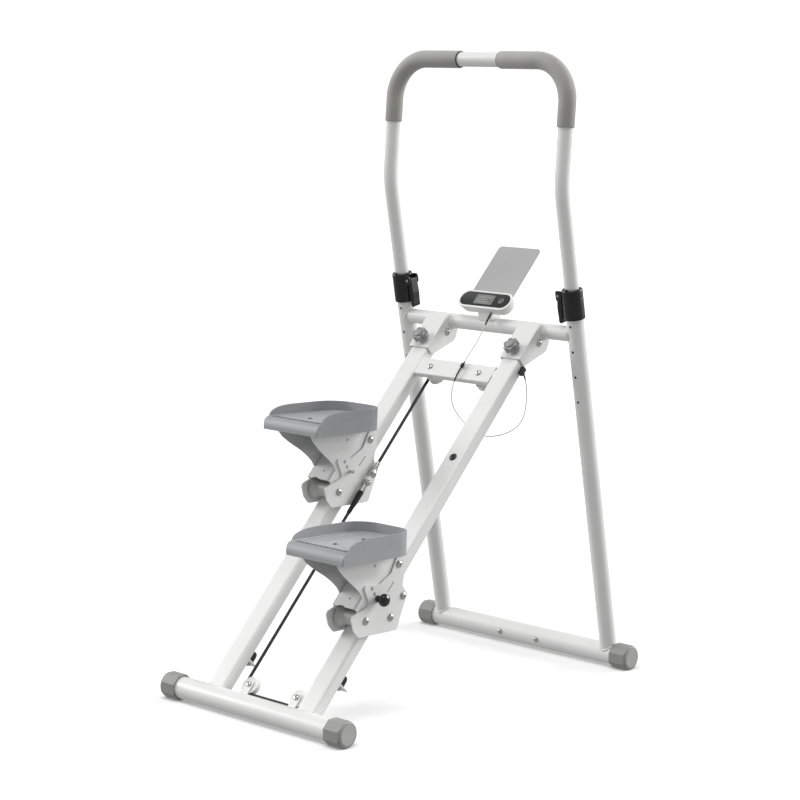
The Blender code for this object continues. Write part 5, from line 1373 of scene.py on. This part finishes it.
def console():
    layers = [(-0.0260, 0.0640, 0.0170), (-0.0250, 0.0680, 0.0200), (-0.0225, 0.0702, 0.0217),
              (-0.0120, 0.0735, 0.0232), (-0.0040, 0.0762, 0.0242), (-0.0010, 0.0768, 0.0245), (0.0000, 0.0760, 0.0237)]
    bm = bmesh.new()
    rings = [[bm.verts.new((u, v, z)) for u, v in stadium(length, width)] for z, length, width in layers]
    for first, second in zip(rings, rings[1:]):
        for k in range(len(first)):
            j = (k + 1) % len(first)
            bm.faces.new((first[k], first[j], second[j], second[k]))
    bm.faces.new(rings[0][::-1])
    bm.faces.new(rings[-1])
    body = mesh_from_bmesh(bm)
    recess = plate_mesh(stadium(0.0715, 0.0195), 0.0030)
    slot_low = (-REST_HALF - TOUCH, REST_FOOT - TOUCH, REST_DEPTH - 0.0015 - TOUCH)
    slot_high = (REST_HALF + TOUCH, 0.050, REST_DEPTH + 0.0015 + TOUCH)
    well = rod_mesh(BUTTON_WELL, -0.0040, 0.01, "Z", (BUTTON_X, 0, 0), sides=48)
    body = shaped(body, cut=[recess, box_mesh(slot_low, slot_high), well])
    tilt = Matrix.Rotation(-CONSOLE_TILT, 4, "X")
    offset = Vector((0, CROSSBAR[0] - CONSOLE_FACE[0], CROSSBAR[1] - CONSOLE_FACE[1]))
    clip = box_mesh((-0.020, -0.016, 0.010), (0.020, 0.016, 0.038), 0.002, 3)
    clip.transform(tilt @ at(offset))
    tube = rod_mesh(CROSSBAR_RADIUS + 0.0001, -0.05, 0.05, "X", sides=64)
    tube.transform(tilt @ at(offset))
    clip = shaped(clip, cut=[tube])
    piece("console_housing", merged([body, clip]), CONSOLE, "upright_frame", SHELL, ["console_body"])
    lens = plate_mesh(stadium(0.0712, 0.0192), 0.0014)
    lens.transform(at((0, 0, -0.0006)))
    lens = shaped(lens, cut=[rod_mesh(BUTTON_WELL, -0.01, 0.01, "Z", (BUTTON_X, 0, 0), sides=48)], bevel=0.0003)
    piece("console_lens", lens, CONSOLE, "upright_frame", LENS)
    edge = plate_mesh(rounded_outline([(0.0245, 0.0128, 0.0012), (-0.0275, 0.0128, 0.0012), (-0.0275, -0.0128, 0.0012),
                                       (0.0245, -0.0128, 0.0012)], 4), 0.0003)
    edge.transform(at((0, 0, 0.00015)))
    piece("console_screen_edge", edge, CONSOLE, "upright_frame", SCREEN_EDGE)
    screen = plate_mesh(rounded_outline([(0.0232, 0.0115, 0.0008), (-0.0262, 0.0115, 0.0008),
                                         (-0.0262, -0.0115, 0.0008), (0.0232, -0.0115, 0.0008)], 4), 0.0003)
    screen.transform(at((0, 0, 0.0003)))
    piece("console_screen", screen, CONSOLE, "upright_frame", SCREEN)
    bars = []
    for row, (low, high) in enumerate(((-0.022, 0.016), (-0.022, 0.006), (-0.022, 0.012))):
        y = 0.0065 - row * 0.0065
        bars.append(box_mesh((low, y - 0.0012, 0.0004), (high, y + 0.0012, 0.00055), 0.0001, 1))
    piece("console_screen_segments", merged(bars), CONSOLE, "upright_frame", SCREEN_EDGE)
    button = turned_mesh([(0, -0.0020), (0.0071, -0.0020), (0.0072, -0.0016), (0.0072, 0.0003), (0.0069, 0.0009),
                          (0.0062, 0.0012), (0.0050, 0.0010), (0, 0.0009)], 56)
    push = CONSOLE @ at((BUTTON_X, 0, 0))
    piece("console_button_cap", button, push, "console_push_button", LENS, ["console_button"])
    ring = ring_mesh(0.0066, 0.0059, 0.0008, 0.00125, sides=56)
    mark = [ring, box_mesh((-0.0004, -0.0005, 0.0008), (0.0004, 0.0034, 0.00115))]
    curve = [(0.0030 * cos(a), 0.0030 * sin(a), 0.00095) for a in (radians(120 + 300 * k / 20) for k in range(21))]
    mark.append(sweep_mesh(curve, 0.00035, 8))
    piece("console_button_mark", merged(mark), push, "console_push_button", PRINT)
    outline = rounded_outline([
        (REST_HALF, REST_TOP, 0.010), (-REST_HALF, REST_TOP, 0.010), (-REST_HALF, REST_FOOT, 0),
        (REST_HALF, REST_FOOT, 0),
    ], 12)
    plate = shaped(plate_mesh(outline, 0.003), bevel=0.0007, segments=3)
    piece("phone_plate_sheet", plate, CONSOLE @ at((0, 0, REST_DEPTH)), "upright_frame", REST_GREY,
          ["phone_plate"])
    # A grey piece at the wire's exit: painted shade standing in for the shaded side of the white clip.
    grey_shade_piece = turned_mesh([(0, -0.003), (0.0034, -0.003), (0.0034, 0.0015), (0.0026, 0.0030), (0, 0.0030)], 32)
    along = (Vector(CONSOLE_WIRE[1]) - Vector(CONSOLE_WIRE[0])).normalized()
    turn = Vector((0, 0, 1)).rotation_difference(along).to_matrix().to_4x4()
    piece("console_gland_painted_shade", grey_shade_piece, at(CONSOLE_WIRE[0]) @ turn, "upright_frame", KNOB_GREY)


def sensor():
    side = RAIL_X + RAIL_WIDTH / 2 + TOUCH
    case = box_mesh((side, -0.0920, -0.0038), (side + 0.0090, -0.0725, 0.0080), 0.0016, 4)
    seam = box_mesh((side - 0.001, -0.0825, -0.005), (side + 0.010, -0.0821, 0.009))
    piece("sensor_case", shaped(case, cut=[seam]), RAIL, "rail_frame", BLACK, ["sensor"])


# ---------------------------------------------------------------- stage and light

FLOOR_REACH = 60.0
SEEN_STRENGTH = 1.05
WORLD_STRENGTH = 0.40
LIGHTS = (
    # name, direction towards the lamp, its width in degrees, strength
    ("top", (0.10, -0.25, 1.0), 45, 1.45),
    ("right", (0.44, 0.86, 0.32), 34, 2.70),
    ("left", (-0.87, -0.36, 0.36), 30, 1.75),
)


def stage():
    mesh = bpy.data.meshes.new("floor")
    reach = FLOOR_REACH
    corners = [(-reach, -reach, 0), (reach, -reach, 0), (reach, reach, 0), (-reach, reach, 0)]
    mesh.from_pydata(corners, [], [(0, 1, 2, 3)])
    floor = bpy.data.objects.new("floor", mesh)
    SCENE.collection.objects.link(floor)
    mesh.materials.append(finish("floor_pale", (0.98, 0.98, 0.98), 0.90, spread=0.004, mottle=0.6, grain=40,
                                 depth=0.0001))
    floor.visible_diffuse = False
    floor.visible_glossy = False

    world = bpy.data.worlds.new("studio")
    SCENE.world = world
    world.use_nodes = True
    tree = world.node_tree
    tree.nodes.clear()
    output = tree.nodes.new("ShaderNodeOutputWorld")
    seen = tree.nodes.new("ShaderNodeBackground")
    seen.inputs["Color"].default_value = (1, 1, 1, 1)
    seen.inputs["Strength"].default_value = SEEN_STRENGTH
    cast = tree.nodes.new("ShaderNodeBackground")
    cast.inputs["Color"].default_value = (1, 1, 1, 1)
    cast.inputs["Strength"].default_value = WORLD_STRENGTH
    rays = tree.nodes.new("ShaderNodeLightPath")
    mix = tree.nodes.new("ShaderNodeMixShader")
    tree.links.new(rays.outputs["Is Camera Ray"], mix.inputs["Fac"])
    tree.links.new(cast.outputs["Background"], mix.inputs[1])
    tree.links.new(seen.outputs["Background"], mix.inputs[2])
    tree.links.new(mix.outputs["Shader"], output.inputs["Surface"])

    for name, toward, softness, power in LIGHTS:
        data = bpy.data.lights.new(name, "SUN")
        data.angle = radians(softness)
        data.energy = power
        light = bpy.data.objects.new(name, data)
        SCENE.collection.objects.link(light)
        light.location = Vector(toward) * 3
        light.rotation_euler = Vector(toward).to_track_quat("Z", "Y").to_euler()
    SCENE.view_settings.view_transform = "Standard"


foot_bars()
legs()
collars()
handlebar()
crossbar()
rails()
cross_plate()
pulleys()
rope()
carriages()
for side, sign in SIDES:
    pedal_tray(side)
    pedal_support(side)
console()
sensor()
stage()
